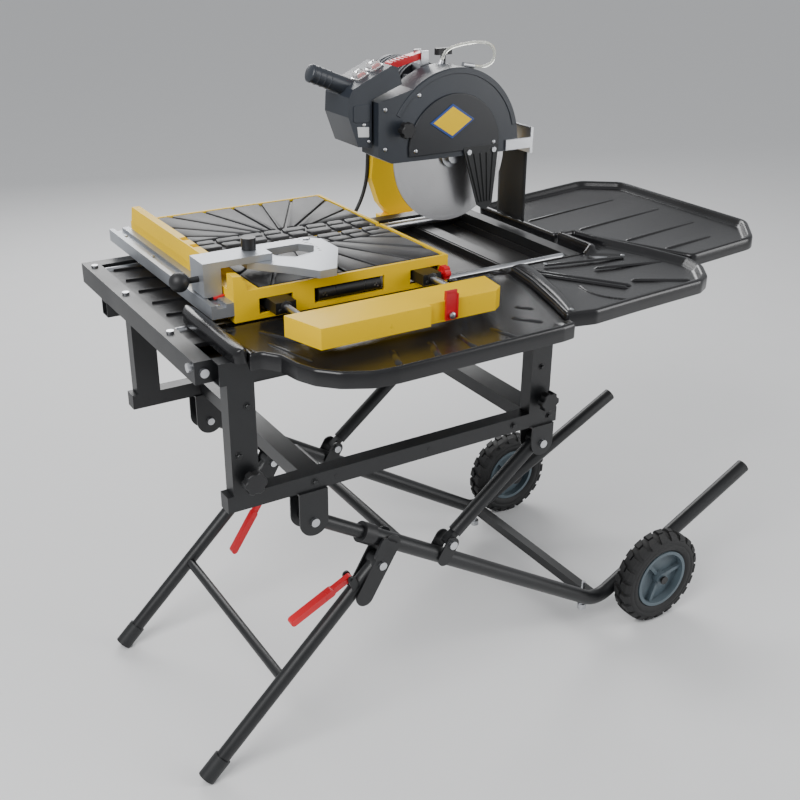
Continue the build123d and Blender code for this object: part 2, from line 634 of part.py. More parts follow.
def cart_axles():
    """Stub pins inside the cart that carry the four rollers."""
    pins = []
    for x in ROLLER_X:
        for y in GUIDE_Y:
            z = FRAME_TOP + ROLLER_R
            pin = rod((x, y - 11, z), (x, y + 11, z), 4)
            for end in (y - 14, y + 11):
                pin += block((x - 6, x + 6), (end, end + 3), (z - 6, DECK_Z[0]))
            pins.append(pin)
    return group(*pins)


def cart_rollers(x):
    """A front and a rear roller on one line."""
    z = FRAME_TOP + ROLLER_R + 0.05
    wheels = [rod((x, y - 8, z), (x, y + 8, z), ROLLER_R) - rod((x, y - 9, z), (x, y + 9, z), 4 + FIT)
              for y in GUIDE_Y]
    return group(*wheels)


# ---------------------------------------------------------------- extension bar and guide
EXT_Y = (-302.0, -226.0)
EXT_Z = (796.5, 830.0)


def extension_bar():
    """The yellow support bar beside the cart, hollow underneath."""
    outline = [(-462, EXT_Y[1]), (-440, EXT_Y[0]), (-250, EXT_Y[0]), (-250, EXT_Y[0] + 8),
               (-122, EXT_Y[0] + 8), (-104, EXT_Y[0] + 22), (-96, EXT_Y[1])]
    bar = flat_plate(outline, EXT_Z)
    inner = offset(make_face(Polyline(*outline, close=True)), -5)
    bar -= extrude(Pos(0, 0, EXT_Z[0] - 1) * inner, EXT_Z[1] - EXT_Z[0] - 4)
    for x in ROD_X:
        bar -= rod((x, EXT_Y[1] - 6, ROD_Z), (x, EXT_Y[1] + 1, ROD_Z), ROD_R)
    return bar


def extension_rods():
    return group(*[rod((x, EXT_Y[1] - 6, ROD_Z), (x, -34, ROD_Z), ROD_R) for x in ROD_X])


LATCH_PIVOT = (-212.0, 808.0)


def extension_latch():
    """The red flip stop on the front of the bar, turning on a screw."""
    y = (EXT_Y[0] + 1, EXT_Y[0] + 5)
    plate = block((LATCH_PIVOT[0] - 10, LATCH_PIVOT[0] + 10), y, (800, 844))
    lip = block((LATCH_PIVOT[0] - 10, LATCH_PIVOT[0] + 10), (y[1], y[1] + 2.4), (832, 844))
    return plate + lip - cross_rod(LATCH_PIVOT, (y[0] - 1, y[1] + 1), 3 + FIT)


def latch_screw():
    shank = cross_rod(LATCH_PIVOT, (EXT_Y[0], EXT_Y[0] + 8), 3)
    return shank + cross_rod(LATCH_PIVOT, (EXT_Y[0] - 3, EXT_Y[0]), 5.5)


def extension_knob():
    """The red clamp knob on the right-hand receiver."""
    x = ROD_X[1] + 18
    plane = Plane(origin=(x + 12, -119, ROD_Z), x_dir=(0, 1, 0), z_dir=(1, 0, 0))
    return plane * star_knob(13, 12) + rod((x - 12, -119, ROD_Z), (x + 13, -119, ROD_Z), 4)


GUIDE_Z = (861.0, 872.0)
SECTOR_PIVOT = (-424.0, -24.0)


def guide_block():
    """The clamp block that straddles the fence and rides on the ruler."""
    top = block((-520, -400), (-62, -8), GUIDE_Z)
    outer = block((-520, -490), (-62, -8), (816, GUIDE_Z[0]))
    body = top + outer
    body -= rod((SECTOR_PIVOT[0], SECTOR_PIVOT[1], 850), (SECTOR_PIVOT[0], SECTOR_PIVOT[1], 880), 5 + FIT)
    return body - rod((-521, -40, 842), (-489, -40, 842), 5 + FIT)


def guide_lock_knob():
    """The black ball knob that clamps the guide to the ruler."""
    ball = Pos(-552, -40, 842) * Sphere(16)
    return ball + rod((-540, -40, 842), (-491, -40, 842), 5)


def guide_sector():
    """The die-cast protractor plate with its curved slot and its square face."""
    z = (848.0, 860.5)
    outline = [(-440, -6), (-430, 26), (-300, 26), (-276, 4), (-276, -56), (-330, -150), (-360, -150),
               (-388, -110), (-440, -50)]
    plate = flat_plate(outline, z)
    window = [(-392, -4), (-324, -4), (-306, -26), (-322, -56), (-360, -66), (-386, -44)]
    plate -= flat_plate(window, (z[0] - 1, z[1] + 1))
    face = block((-286, -276), (-56, 4), (833, z[0]))
    body = plate + face
    return body - rod((SECTOR_PIVOT[0], SECTOR_PIVOT[1], 840), (SECTOR_PIVOT[0], SECTOR_PIVOT[1], 865), 5 + FIT)


def angle_knob():
    """The dark knob that locks the protractor plate."""
    x, y = SECTOR_PIVOT
    return rod((x, y, 873), (x, y, 892), 12) + rod((x, y, 846), (x, y, 874), 5)


# ---------------------------------------------------------------- head
COLUMN_Y = (382.0, 404.0)


def head_column():
    """The yellow cast column behind the cart, with the arm that reaches over to the head."""
    y = COLUMN_Y
    post = side_plate([(106, 742), (158, 742), (150, 770), (122, 800), (108, 832), (100, 880), (100, 930),
                       (225, 985), (225, 1022), (60, 1022), (52, 900), (46, 846), (66, 790)], y)
    foot = block((70, 200), (FRAME_Y[1], y[1]), (742, 762))
    arm = block((165, 225), (200, y[0]), (985, 1022))
    pivot = cross_rod(HEAD_PIVOT, (200, y[1]), 21)
    return post + foot + arm + pivot - cross_rod(HEAD_PIVOT, (190, y[1] + 1), SHAFT_R + FIT)


def head_shaft():
    """The pivot shaft of the head, with its end collars."""
    shaft = cross_rod(HEAD_PIVOT, (163, COLUMN_Y[1] + 5), SHAFT_R)
    return shaft + cross_rod(HEAD_PIVOT, (COLUMN_Y[1], COLUMN_Y[1] + 5), 15)


def guard_outline(grow):
    """The guard's side view: a slope at the left, a round top and a straight lower edge."""
    cx, cz = GUARD_C
    r = GUARD_R + grow
    a1, a2 = math.radians(128), math.radians(8)
    left = (-106 - grow, 962 - grow)
    start = (cx + r * math.cos(a1), cz + r * math.sin(a1))
    top = (cx, cz + r)
    end = (cx + r * math.cos(a2), cz + r * math.sin(a2))
    corner = (212 + grow, 944 - grow)
    edges = [
        Line((-78, 948 - grow), left), Line(left, (-106 - grow, 1059)), Line((-106 - grow, 1059), start),
        ThreePointArc(start, top, end), Line(end, corner), Line(corner, (-78, 948 - grow)),
    ]
    plane = Plane(origin=(0, 0, 0), x_dir=(1, 0, 0), z_dir=(0, -1, 0))
    return plane * make_face([e for edge in edges for e in edge.edges()])


def blade_guard():
    """The charcoal guard: a shell that is open below and at the back for the arbor."""
    shell = guard_block()
    inside = extrude(guard_outline(-4), GUARD_Y[1] - GUARD_Y[0] - 8, dir=(0, 1, 0))
    shell -= inside.moved(Pos(0, GUARD_Y[0] + 4, 0))
    shell -= block((-70, 205), (GUARD_Y[0] + 4, GUARD_Y[1] - 4), (930, 960))
    shell -= cross_rod(BLADE, (GUARD_Y[1] - 6, GUARD_Y[1] + 1), 24)
    return shell - cross_rod((-55, 1009), (GUARD_Y[0] - 1, GUARD_Y[0] + 5), 4 + FIT)


GEAR_TOP = 1078.0
SHAFT_R = 10.0
T_KNOB = (84.0, 178.0)


def gear_housing():
    """The block behind the guard that carries the motor and turns on the head pivot."""
    y = (GUARD_Y[1], 196.0)
    body = side_plate([(-10, 925), (110, 915), (215, 970), (215, 1035), (150, GEAR_TOP), (-10, GEAR_TOP)], y)
    body -= cross_rod(BLADE, (y[0] - 1, 190), ARBOR_R + FIT)
    body -= rod((*T_KNOB, GEAR_TOP - 14), (*T_KNOB, GEAR_TOP + 1), 5 + FIT)
    return body - cross_rod(HEAD_PIVOT, (y[0] + 4, y[1] + 1), SHAFT_R + FIT)


def motor_can():
    """The motor with its ribbed end cover, along Y."""
    can = cross_rod(MOTOR, (196, 306), MOTOR_R)
    return can + cross_rod(MOTOR, (306, 314), MOTOR_R - 10)


SLOPE_START = (-150.0, 1084.0)    # lower end of the switch panel
SLOPE_END = (-70.0, 1120.0)
SLOPE = line_angle(SLOPE_START, SLOPE_END)


def control_housing():
    """The switch housing left of the guard."""
    outline = [(-112, 978), (-140, 982), (-160, 1036), (-158, 1070), SLOPE_START, SLOPE_END,
               (-58, 1116), (-48, 1086), (-112, 1063)]
    body = side_plate(outline, (112, 200))
    link = block((-60, -10), (GUARD_Y[1], 196), (1000, 1070))
    left_end = block((-112, -60), (GUARD_Y[1], 200), (1000, 1066))
    body += link
    body += left_end
    return body


def front_grip():
    """The round grip that the operator pulls the head down with."""
    return rod((-214, 152, 1112), (-134, 152, 1080), 16) - control_housing()


SWITCH_SPOTS = ((-116.0, 146.0), (-86.0, 146.0))


def switch_surface(x):
    """Height of the housing's sloped top at an x."""
    return SLOPE_START[1] + (x - SLOPE_START[0]) * math.tan(math.radians(SLOPE))


def switch_button(x, y):
    """A rocker that stands on the sloped top of the housing."""
    body = Box(16, 20, 7, align=(Align.CENTER, Align.CENTER, Align.MIN))
    body = chamfer(body.edges().filter_by(Axis.Y), 2)
    return Pos(x, y, switch_surface(x)) * Rot(0, -SLOPE, 0) * Pos(0, 0, 1.0) * body


RELEASE_PIVOT = (34.0, 1125.0)
LEVER_EARS = (164.0, 194.0)


def release_lever():
    """The red lever on top of the head."""
    y = (LEVER_EARS[0] + 5, LEVER_EARS[1] - 5)
    grip = stadium((-34, 1110), RELEASE_PIVOT, 6, y)
    return grip - cross_rod(RELEASE_PIVOT, (y[0] - 1, y[1] + 1), 3 + FIT)


def lever_bracket():
    """The stand, the two ears and the pin that hold the red lever above the housing."""
    x, z = RELEASE_PIVOT
    near, far = LEVER_EARS
    stand = block((x - 10, x + 10), LEVER_EARS, (GEAR_TOP, z - 15))
    ears = [block((x - 8, x + 8), y, (z - 15, z + 8)) for y in ((near, near + 4), (far - 4, far))]
    return stand + ears[0] + ears[1] + cross_rod(RELEASE_PIVOT, LEVER_EARS, 3)


def depth_knob():
    """The T-shaped knob that sets how far the head plunges."""
    x, y = T_KNOB
    stem = rod((x, y, GEAR_TOP - 12), (x, y, 1122), 5)
    bar = block((x - 18, x + 18), (y - 6, y + 6), (1122, 1134))
    return stem + fillet(bar.edges().filter_by(Axis.Z), 4)


def saw_blade():
    """A continuous-rim diamond blade."""
    half = BLADE_T / 2
    disc = cross_rod(BLADE, (BLADE_Y - half, BLADE_Y + half), BLADE_R)
    core = cross_rod(BLADE, (BLADE_Y - half, BLADE_Y - half + 0.3), BLADE_R - 8)
    disc -= core
    return disc - cross_rod(BLADE, (BLADE_Y - 3, BLADE_Y + 3), ARBOR_R)


def arbor():
    """The motor's output shaft, with the two flanges and the nut that clamp the blade."""
    half = BLADE_T / 2
    shaft = cross_rod(BLADE, (BLADE_Y - 16, 188), ARBOR_R)
    shaft += cross_rod(BLADE, (BLADE_Y + half, BLADE_Y + half + 6), 22)
    nut_face = BLADE_Y - half + 0.3
    outer = cross_rod(BLADE, (nut_face - 6, nut_face), 22)
    nut = cross_rod(BLADE, (nut_face - 15, nut_face - 6), 13)
    return shaft + outer + nut


def guard_knob():
    """The star knob that holds the guard's side panel."""
    plane = Plane(origin=(-55, GUARD_Y[0] - 9, 1009), x_dir=(1, 0, 0), z_dir=(0, -1, 0))
    stem = cross_rod((-55, 1009), (GUARD_Y[0] - 10, GUARD_Y[0] + 10), 4)
    return plane * star_knob(15, 14) + stem


def side_skirts():
    """Ribbed rubber skirts that hang beside the rear of the blade."""
    outline = [(80, 960), (160, 960), (152, 846), (134, 836), (118, 846)]
    skirt = side_plate(outline, (GUARD_Y[0] - 4, GUARD_Y[0] - 1))
    for i in range(4):
        x = 98 + i * 15
        skirt += side_plate([(x - 2, 954), (x + 2, 954), (132 + i * 5, 850), (129 + i * 5, 850)],
                            (GUARD_Y[0] - 6, GUARD_Y[0] - 3))
    return skirt - skirt_screws()


def skirt_screws():
    spots = ((92, 952), (150, 952))
    return group(*[cross_rod(p, (GUARD_Y[0] - 7, GUARD_Y[0]), 5) for p in spots])


def rear_flap():
    """The rubber splash flap behind the blade."""
    return block((246, 250), (112, 200), (790, 953))


def flap_plate():
    """The steel arm and strip that hold the flap on the guard."""
    strip = block((240, 246), (GUARD_Y[0] - 4, 204), (935, 985))
    near_arm = block((180, 246), (GUARD_Y[0] - 4, GUARD_Y[0]), (946, 966))
    far_arm = block((215, 246), (165, 195), (976, 982))
    return strip + near_arm + far_arm


def cable_gland():
    """The strain relief under the motor's rear cover."""
    return rod((52, 314, 1044), (52, 326, 1041), 9) + rod((52, 326, 1041), CORD_ROUTE[0], 6.5)


CORD_R = 4.0
CORD_ROUTE = [(52, 346, 1036), (52, 366, 1031), (51, 383, 1019), (50, 392, 1000), (48, 396, 972), (46, 397, 930),
              (45, 396, 886), (42, 395, 845), (34, 396, 812), (20, 395, 785), (4, 389, 768), (-8, 379, 757),
              (-12, 362, 754), (-12, 345, 754)]


def corner_radii(route):
    """The largest arcs that the runs of a route allow."""
    points = [Vector(*p) for p in route]
    radii = []
    for a, b, c in zip(points, points[1:], points[2:]):
        turn = (b - a).get_angle(c - b)
        shorter = min((b - a).length, (c - b).length)
        radii.append(0.45 * shorter / math.tan(math.radians(turn) / 2))
    return radii


def cord_tube(route, radius):
    radii = corner_radii(route)
    print("radii:", ", ".join(f"{r:.0f}" for r in radii))
    path = FilletPolyline(*route, radius=radii)
    tube = sweep(Plane(origin=path @ 0, z_dir=path % 0) * Circle(radius), path)
    print(f"cord length {path.length:.0f} mm, volume ratio {tube.volume / (math.pi * radius**2 * path.length):.4f}")
    return tube


def rail_grommet():
    """The gland on the rear rail that the cord goes into."""
    return rod((-12, FRAME_Y[1], 754), (-12, FRAME_Y[1] + 10, 754), 8)


HOSE_R = 3.0
HOSE_ROUTE = [(62, 150, 1116), (66, 150, 1126), (75, 149, 1135), (90, 147, 1140), (108, 145, 1143), (127, 143, 1145),
              (146, 142, 1145), (162, 142, 1142), (173, 142, 1135), (179, 142, 1124), (178, 143, 1112), (171, 145, 1103),
              (160, 147, 1099), (148, 149, 1099), (136, 150, 1101)]


def hose_fittings():
    """Barbed fittings on the guard where the water hose starts and ends."""
    first = rod((56, 150, 1101), HOSE_ROUTE[0], 5)
    second = rod((112, 152, 1105), HOSE_ROUTE[-1], 5)
    return group(first - guard_block(), second - guard_block())


def guard_block():
    return extrude(guard_outline(0), GUARD_Y[1] - GUARD_Y[0], dir=(0, 1, 0)).moved(Pos(0, GUARD_Y[0], 0))


# ---------------------------------------------------------------- write the parts
os.makedirs("parts", exist_ok=True)

save("stand_rails", group(both_sides(stand_rail()), stand_cross_bars()))
save("rail_end_caps", group(rail_caps(), rail_grommet()))
save("pivot_brackets", pivot_brackets())
save("frame_bolts", group(stand_bolts(), tray_brackets()))
save("frame_posts", frame_posts())
save("post_knob_left", post_knob(POST_X[0]))
save("post_knob_right", post_knob(POST_X[1]))
save("long_tubes", both_sides(outer_tube()))
save("tube_collars", tube_collars())
save("tube_cross_members", group(tube_cross_bars(), tube_saddles(), wheel_axles(), latch_catches()))
save("tube_bolts", group(tube_bolts(), lever_pin()))
save("inner_tubes", both_sides(inner_tube()))
save("strut_tubes", both_sides(strut_tube()))
save("leg_frame", leg_frame())
save("foot_caps", foot_caps())
save("latch_lever_front", latch_lever_front())
save("latch_lever_rear", latch_lever_rear())
for name, side in (("front", -1), ("rear", 1)):
    save(f"wheel_hub_{name}", wheel_hub(side))
    save(f"wheel_tyre_{name}", wheel_tyre(side))
save("saw_frame", saw_frame())
save("guide_rails", guide_rails())
save("water_pan", group(open_pan((-562, 99)), open_pan((131, 209)), pan_apron()))
save("front_tray", front_tray())
save("right_tray", right_tray())
save("rear_tray", rear_tray())
save("cart_casting", cart_casting())
save("cart_mats", cart_mats())
save("cart_fence", cart_fence())
save("fence_ruler", fence_ruler())
save("cart_fittings", group(rod_receivers(), cart_roller_bar(), cart_axles()))
save("cart_rollers_left", cart_rollers(ROLLER_X[0]))
save("cart_rollers_right", cart_rollers(ROLLER_X[1]))
save("extension_bar", extension_bar())
save("extension_rods", group(extension_rods(), latch_screw()))
save("extension_latch", extension_latch())
save("extension_knob", extension_knob())
save("guide_block", guide_block())
save("guide_lock_knob", guide_lock_knob())
save("guide_sector", guide_sector())
save("angle_knob", angle_knob())
save("head_column", head_column())
save("head_shaft", head_shaft())
save("blade_guard", blade_guard())
save("gear_housing", gear_housing())
save("motor_can", group(motor_can(), cable_gland()))
save("control_housing", control_housing())
save("front_grip", front_grip())
for i, (x, y) in enumerate(SWITCH_SPOTS):
    save(f"switch_{i + 1}", switch_button(x, y))
save("release_lever", release_lever())
save("depth_knob", depth_knob())
save("saw_blade", saw_blade())
save("arbor", arbor())
save("guard_knob", guard_knob())
save("splash_flaps", group(side_skirts(), rear_flap()))
save("head_fittings", group(skirt_screws(), flap_plate(), lever_bracket(), hose_fittings()))
save("power_cord", cord_tube(CORD_ROUTE, CORD_R))
save("water_hose", cord_tube(HOSE_ROUTE, HOSE_R))
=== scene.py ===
import bmesh
import bpy
import json
import math
from mathutils import Matrix, Vector
from mathutils.geometry import delaunay_2d_cdt


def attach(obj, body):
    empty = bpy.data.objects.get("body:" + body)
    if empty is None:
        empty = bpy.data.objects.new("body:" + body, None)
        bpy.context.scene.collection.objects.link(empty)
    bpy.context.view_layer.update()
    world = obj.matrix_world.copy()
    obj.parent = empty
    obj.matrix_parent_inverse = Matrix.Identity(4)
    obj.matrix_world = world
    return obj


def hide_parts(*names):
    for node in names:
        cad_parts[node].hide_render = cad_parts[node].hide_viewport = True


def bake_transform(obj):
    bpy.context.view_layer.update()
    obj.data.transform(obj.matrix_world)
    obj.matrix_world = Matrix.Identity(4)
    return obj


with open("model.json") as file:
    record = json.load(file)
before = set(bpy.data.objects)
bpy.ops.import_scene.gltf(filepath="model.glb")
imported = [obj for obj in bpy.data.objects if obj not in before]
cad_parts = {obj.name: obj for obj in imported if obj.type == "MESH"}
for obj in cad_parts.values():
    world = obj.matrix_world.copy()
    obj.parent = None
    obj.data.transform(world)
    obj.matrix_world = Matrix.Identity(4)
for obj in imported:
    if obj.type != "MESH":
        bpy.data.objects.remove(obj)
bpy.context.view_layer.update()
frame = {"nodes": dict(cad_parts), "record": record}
NODES = frame["nodes"]
MM = 0.001
X, Y, Z = Vector((1, 0, 0)), Vector((0, 1, 0)), Vector((0, 0, 1))

# ---------------------------------------------------------------- driving sizes, in millimetres
WHEEL_AXIS = (363, 102)       # (x, z) of the wheels
WHEEL_Y = 260
TYRE_R = 102
TYRE_W = 44
HUB_R = 64
BLADE_AXIS = (73, 942)
BLADE_Y = 130
MAT_TOP = 830
MAT_BASE = 823
DECK_X = (-442, -89)
DECK_Y = (-94, 370)
FAN_CENTRE = (-283, 140)      # the grooves of the mats spread out from here
CORD_R = 4.0
HOSE_R = 3.0
FRAME_TOP = 776.6             # the trays rest just above this
CART_EDGE_Y = -113            # the trays are flat beyond this line, where the cart slides over them
UNDER_CART = 776.7
TRAY_FLOOR = 781
PLATE_TOP = 860.5             # upper face of the protractor plate


# ---------------------------------------------------------------- materials
def surface(name, colour, rough=0.4, metal=0.0, grain=400.0, bump=0.1, vary=0.12, rough_vary=0.1,
            dust=0.0, coat=0.0, worn=None, shine=0.5):
    """A painted, plastic or metal surface: cloudy colour, uneven gloss, a fine grain and dust on top faces."""
    mat = bpy.data.materials.new(name)
    mat.use_nodes = True
    nodes, links = mat.node_tree.nodes, mat.node_tree.links
    shader = nodes["Principled BSDF"]
    shader.inputs["Metallic"].default_value = metal
    shader.inputs["Coat Weight"].default_value = coat
    shader.inputs["Specular IOR Level"].default_value = shine
    shader.inputs["Coat Roughness"].default_value = 0.15
    place = nodes.new("ShaderNodeTexCoord")
    cloud = nodes.new("ShaderNodeTexNoise")
    cloud.inputs["Scale"].default_value = 9.0
    cloud.inputs["Detail"].default_value = 6.0
    links.new(place.outputs["Object"], cloud.inputs["Vector"])
    ramp = nodes.new("ShaderNodeValToRGB")
    dark = [c * (1 - vary) for c in colour]
    light = [min(1.0, c * (1 + vary)) for c in colour]
    ramp.color_ramp.elements[0].position = 0.35
    ramp.color_ramp.elements[0].color = (*dark, 1)
    ramp.color_ramp.elements[1].position = 0.65
    ramp.color_ramp.elements[1].color = (*light, 1)
    links.new(cloud.outputs["Fac"], ramp.inputs["Fac"])
    colour_out = ramp.outputs["Color"]
    if dust:
        colour_out = add_dust(nodes, links, place, colour_out, dust)
    if worn:
        colour_out = add_wear(nodes, links, place, colour_out, worn)
    links.new(colour_out, shader.inputs["Base Color"])
    fine = nodes.new("ShaderNodeTexNoise")
    fine.inputs["Scale"].default_value = grain
    fine.inputs["Detail"].default_value = 3.0
    links.new(place.outputs["Object"], fine.inputs["Vector"])
    gloss = nodes.new("ShaderNodeMapRange")
    gloss.inputs["To Min"].default_value = max(0.03, rough - rough_vary)
    gloss.inputs["To Max"].default_value = min(1.0, rough + rough_vary)
    links.new(cloud.outputs["Fac"], gloss.inputs["Value"])
    links.new(gloss.outputs["Result"], shader.inputs["Roughness"])
    relief = nodes.new("ShaderNodeBump")
    relief.inputs["Strength"].default_value = bump
    relief.inputs["Distance"].default_value = 0.0006
    links.new(fine.outputs["Fac"], relief.inputs["Height"])
    links.new(relief.outputs["Normal"], shader.inputs["Normal"])
    return mat


def add_dust(nodes, links, place, colour, amount):
    """A thin pale film on faces that look up."""
    normal = nodes.new("ShaderNodeSeparateXYZ")
    shape = nodes.new("ShaderNodeNewGeometry")
    links.new(shape.outputs["Normal"], normal.inputs["Vector"])
    up = nodes.new("ShaderNodeMapRange")
    up.inputs["From Min"].default_value = 0.6
    up.inputs["To Max"].default_value = amount
    links.new(normal.outputs["Z"], up.inputs["Value"])
    patch = nodes.new("ShaderNodeTexNoise")
    patch.inputs["Scale"].default_value = 22.0
    patch.inputs["Detail"].default_value = 8.0
    links.new(place.outputs["Object"], patch.inputs["Vector"])
    product = nodes.new("ShaderNodeMath")
    product.operation = "MULTIPLY"
    links.new(up.outputs["Result"], product.inputs[0])
    links.new(patch.outputs["Fac"], product.inputs[1])
    mix = nodes.new("ShaderNodeMix")
    mix.data_type = "RGBA"
    mix.inputs["B"].default_value = (0.32, 0.31, 0.29, 1)
    links.new(product.outputs[0], mix.inputs["Factor"])
    links.new(colour, mix.inputs["A"])
    return mix.outputs["Result"]


def add_wear(nodes, links, place, colour, worn):
    """Small scuffs where fine noise peaks."""
    scuff = nodes.new("ShaderNodeTexNoise")
    scuff.inputs["Scale"].default_value = 70.0
    scuff.inputs["Detail"].default_value = 10.0
    links.new(place.outputs["Object"], scuff.inputs["Vector"])
    peak = nodes.new("ShaderNodeMapRange")
    peak.inputs["From Min"].default_value = 0.66
    peak.inputs["From Max"].default_value = 0.74
    peak.inputs["To Max"].default_value = 0.5
    links.new(scuff.outputs["Fac"], peak.inputs["Value"])
    mix = nodes.new("ShaderNodeMix")
    mix.data_type = "RGBA"
    mix.inputs["B"].default_value = (*worn, 1)
    links.new(peak.outputs["Result"], mix.inputs["Factor"])
    links.new(colour, mix.inputs["A"])
    return mix.outputs["Result"]


def turned_steel(name, centre, colour=(0.62, 0.62, 0.63)):
    """Ground steel with fine rings round a centre on the Y axis."""
    mat = surface(name, colour, rough=0.3, metal=1.0, grain=900, bump=0.03, vary=0.06)
    nodes, links = mat.node_tree.nodes, mat.node_tree.links
    place = nodes.new("ShaderNodeTexCoord")
    shift = nodes.new("ShaderNodeVectorMath")
    shift.operation = "SUBTRACT"
    shift.inputs[1].default_value = (centre[0] * MM, BLADE_Y * MM, centre[1] * MM)
    links.new(place.outputs["Object"], shift.inputs[0])
    reach = nodes.new("ShaderNodeVectorMath")
    reach.operation = "LENGTH"
    links.new(shift.outputs["Vector"], reach.inputs[0])
    rings = nodes.new("ShaderNodeTexNoise")
    rings.noise_dimensions = "1D"
    rings.inputs["Scale"].default_value = 2500.0
    rings.inputs["Detail"].default_value = 4.0
    links.new(reach.outputs["Value"], rings.inputs["W"])
    gloss = nodes.new("ShaderNodeMapRange")
    gloss.inputs["To Min"].default_value = 0.2
    gloss.inputs["To Max"].default_value = 0.48
    links.new(rings.outputs["Fac"], gloss.inputs["Value"])
    links.new(gloss.outputs["Result"], nodes["Principled BSDF"].inputs["Roughness"])
    return mat


def clear_plastic(name, colour, rough=0.15):
    """Soft clear plastic, a little milky."""
    mat = surface(name, colour, rough=rough, grain=250, bump=0.04, vary=0.05, rough_vary=0.05)
    shader = mat.node_tree.nodes["Principled BSDF"]
    shader.inputs["Transmission Weight"].default_value = 0.75
    shader.inputs["IOR"].default_value = 1.42
    return mat


M = {
    "black_steel": surface("black_powder_coat", (0.006, 0.0065, 0.0075), rough=0.42, grain=700, bump=0.12,
                           vary=0.25, dust=0.02, coat=0.05),
    "yellow": surface("yellow_enamel", (0.88, 0.56, 0.0), rough=0.45, grain=260, bump=0.05, vary=0.03,
                      shine=0.22, worn=(0.60, 0.34, 0.0)),
    "black_plastic": surface("black_plastic", (0.008, 0.008, 0.009), rough=0.45, grain=900, bump=0.25, vary=0.2,
                             dust=0.05),
    "tray": surface("tray_plastic", (0.008, 0.008, 0.009), rough=0.25, grain=1100, bump=0.06, vary=0.2,
                    rough_vary=0.05, dust=0.02),
    "zinc": surface("zinc_steel", (0.55, 0.56, 0.58), rough=0.3, metal=1.0, grain=500, bump=0.08, vary=0.15),
    "blade": turned_steel("blade_steel", BLADE_AXIS),
    "cast": surface("die_cast_grey", (0.40, 0.42, 0.45), rough=0.42, metal=0.75, grain=380, bump=0.18, vary=0.1,
                    worn=(0.22, 0.23, 0.25)),
    "mat": surface("mat_rubber", (0.022, 0.022, 0.024), rough=0.5, grain=650, bump=0.3, vary=0.18, dust=0.06),
    "rubber": surface("soft_rubber", (0.011, 0.012, 0.013), rough=0.5, grain=500, bump=0.3, vary=0.2, dust=0.04),
    "tyre": surface("tyre_rubber", (0.009, 0.009, 0.0095), rough=0.66, grain=420, bump=0.45, vary=0.25, dust=0.06),
    "hub": surface("hub_plastic", (0.085, 0.115, 0.135), rough=0.5, grain=600, bump=0.15, vary=0.1, dust=0.08),
    "red": surface("red_plastic", (0.55, 0.006, 0.014), rough=0.3, grain=500, bump=0.06, vary=0.12),
    "charcoal": surface("charcoal_plastic", (0.024, 0.029, 0.038), rough=0.36, grain=1000, bump=0.14, vary=0.12,
                        dust=0.02),
    "panel": surface("guard_panel", (0.010, 0.0115, 0.015), rough=0.34, grain=1000, bump=0.1, vary=0.15, dust=0.01),
    "motor": surface("motor_casing", (0.050, 0.056, 0.066), rough=0.45, metal=0.3, grain=450, bump=0.2, vary=0.12),
    "clear": clear_plastic("clear_tube", (0.86, 0.87, 0.80)),
    "cover": clear_plastic("clear_cover", (0.95, 0.90, 0.88), rough=0.1),
    "white": surface("pale_label", (0.62, 0.63, 0.64), rough=0.35, grain=300, bump=0.03, vary=0.04),
    "blue": surface("blue_badge", (0.012, 0.05, 0.24), rough=0.3, grain=300, bump=0.03, vary=0.05),
}

LOOK = {
    "black_steel": "black_steel", "yellow_paint": "yellow", "black_plastic": "black_plastic",
    "tray_plastic": "tray", "zinc_steel": "zinc", "blade_steel": "blade", "cast_grey": "cast",
    "mat_rubber": "mat", "rubber": "rubber", "tyre": "tyre", "hub_plastic": "hub", "red_plastic": "red",
    "charcoal": "charcoal", "charcoal_cast": "charcoal", "motor_grey": "motor", "switch_red": "red",
    "clear_hose": "clear", "cord_rubber": "rubber",
}
BEVELS = {"blade_guard": 3.0, "control_housing": 5.0, "gear_housing": 4.0, "cart_casting": 1.2,
          "cart_fence": 1.5, "extension_bar": 1.8, "head_column": 3.0, "saw_frame": 1.6, "frame_posts": 1.6,
          "stand_rails": 1.6, "guide_block": 3.0, "guide_sector": 1.5, "front_grip": 2.5, "saw_blade": 0.0,
          "guide_rails": 0.5, "cart_mats": 0.5}


def dress_nodes():
    """Every CAD node gets its material, smooth shading and small rounded edges."""
    slots = {s["node"]: s["material_slot"] for s in frame["record"]["subparts"]}
    for name, node in NODES.items():
        mesh = node.data
        mesh.materials.clear()
        mesh.materials.append(M[LOOK[slots[name]]])
        mesh.shade_smooth()
        mesh.set_sharp_from_angle(angle=math.radians(32))
        width = BEVELS.get(name, 0.8)
        if width:
            add_bevel(node, width)


def add_bevel(obj, width, segments=2, angle=32):
    bevel = obj.modifiers.new("edges", "BEVEL")
    bevel.width = width * MM
    bevel.segments = segments
    bevel.limit_method = "ANGLE"
    bevel.angle_limit = math.radians(angle)
    bevel.harden_normals = True
    return bevel


# ---------------------------------------------------------------- mesh helpers
def piece(name, bm, body, look, bevel=0.0, smooth=35, segments=2):
    """A finished object from a bmesh in millimetres, riding on a body."""
    bmesh.ops.recalc_face_normals(bm, faces=bm.faces)
    bmesh.ops.scale(bm, vec=(MM, MM, MM), verts=bm.verts)
    mesh = bpy.data.meshes.new(name)
    bm.to_mesh(mesh)
    bm.free()
    mesh.shade_smooth()
    mesh.set_sharp_from_angle(angle=math.radians(smooth))
    obj = bpy.data.objects.new(name, mesh)
    bpy.context.scene.collection.objects.link(obj)
    mesh.materials.append(M[look])
    if bevel:
        add_bevel(obj, bevel, segments, smooth)
    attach(obj, body)
    return obj


def axes_for(axis):
    """The two directions across an axis: the outline's first and second coordinate."""
    return {"x": (Y, Z, X), "y": (X, Z, Y), "z": (X, Y, Z)}[axis]


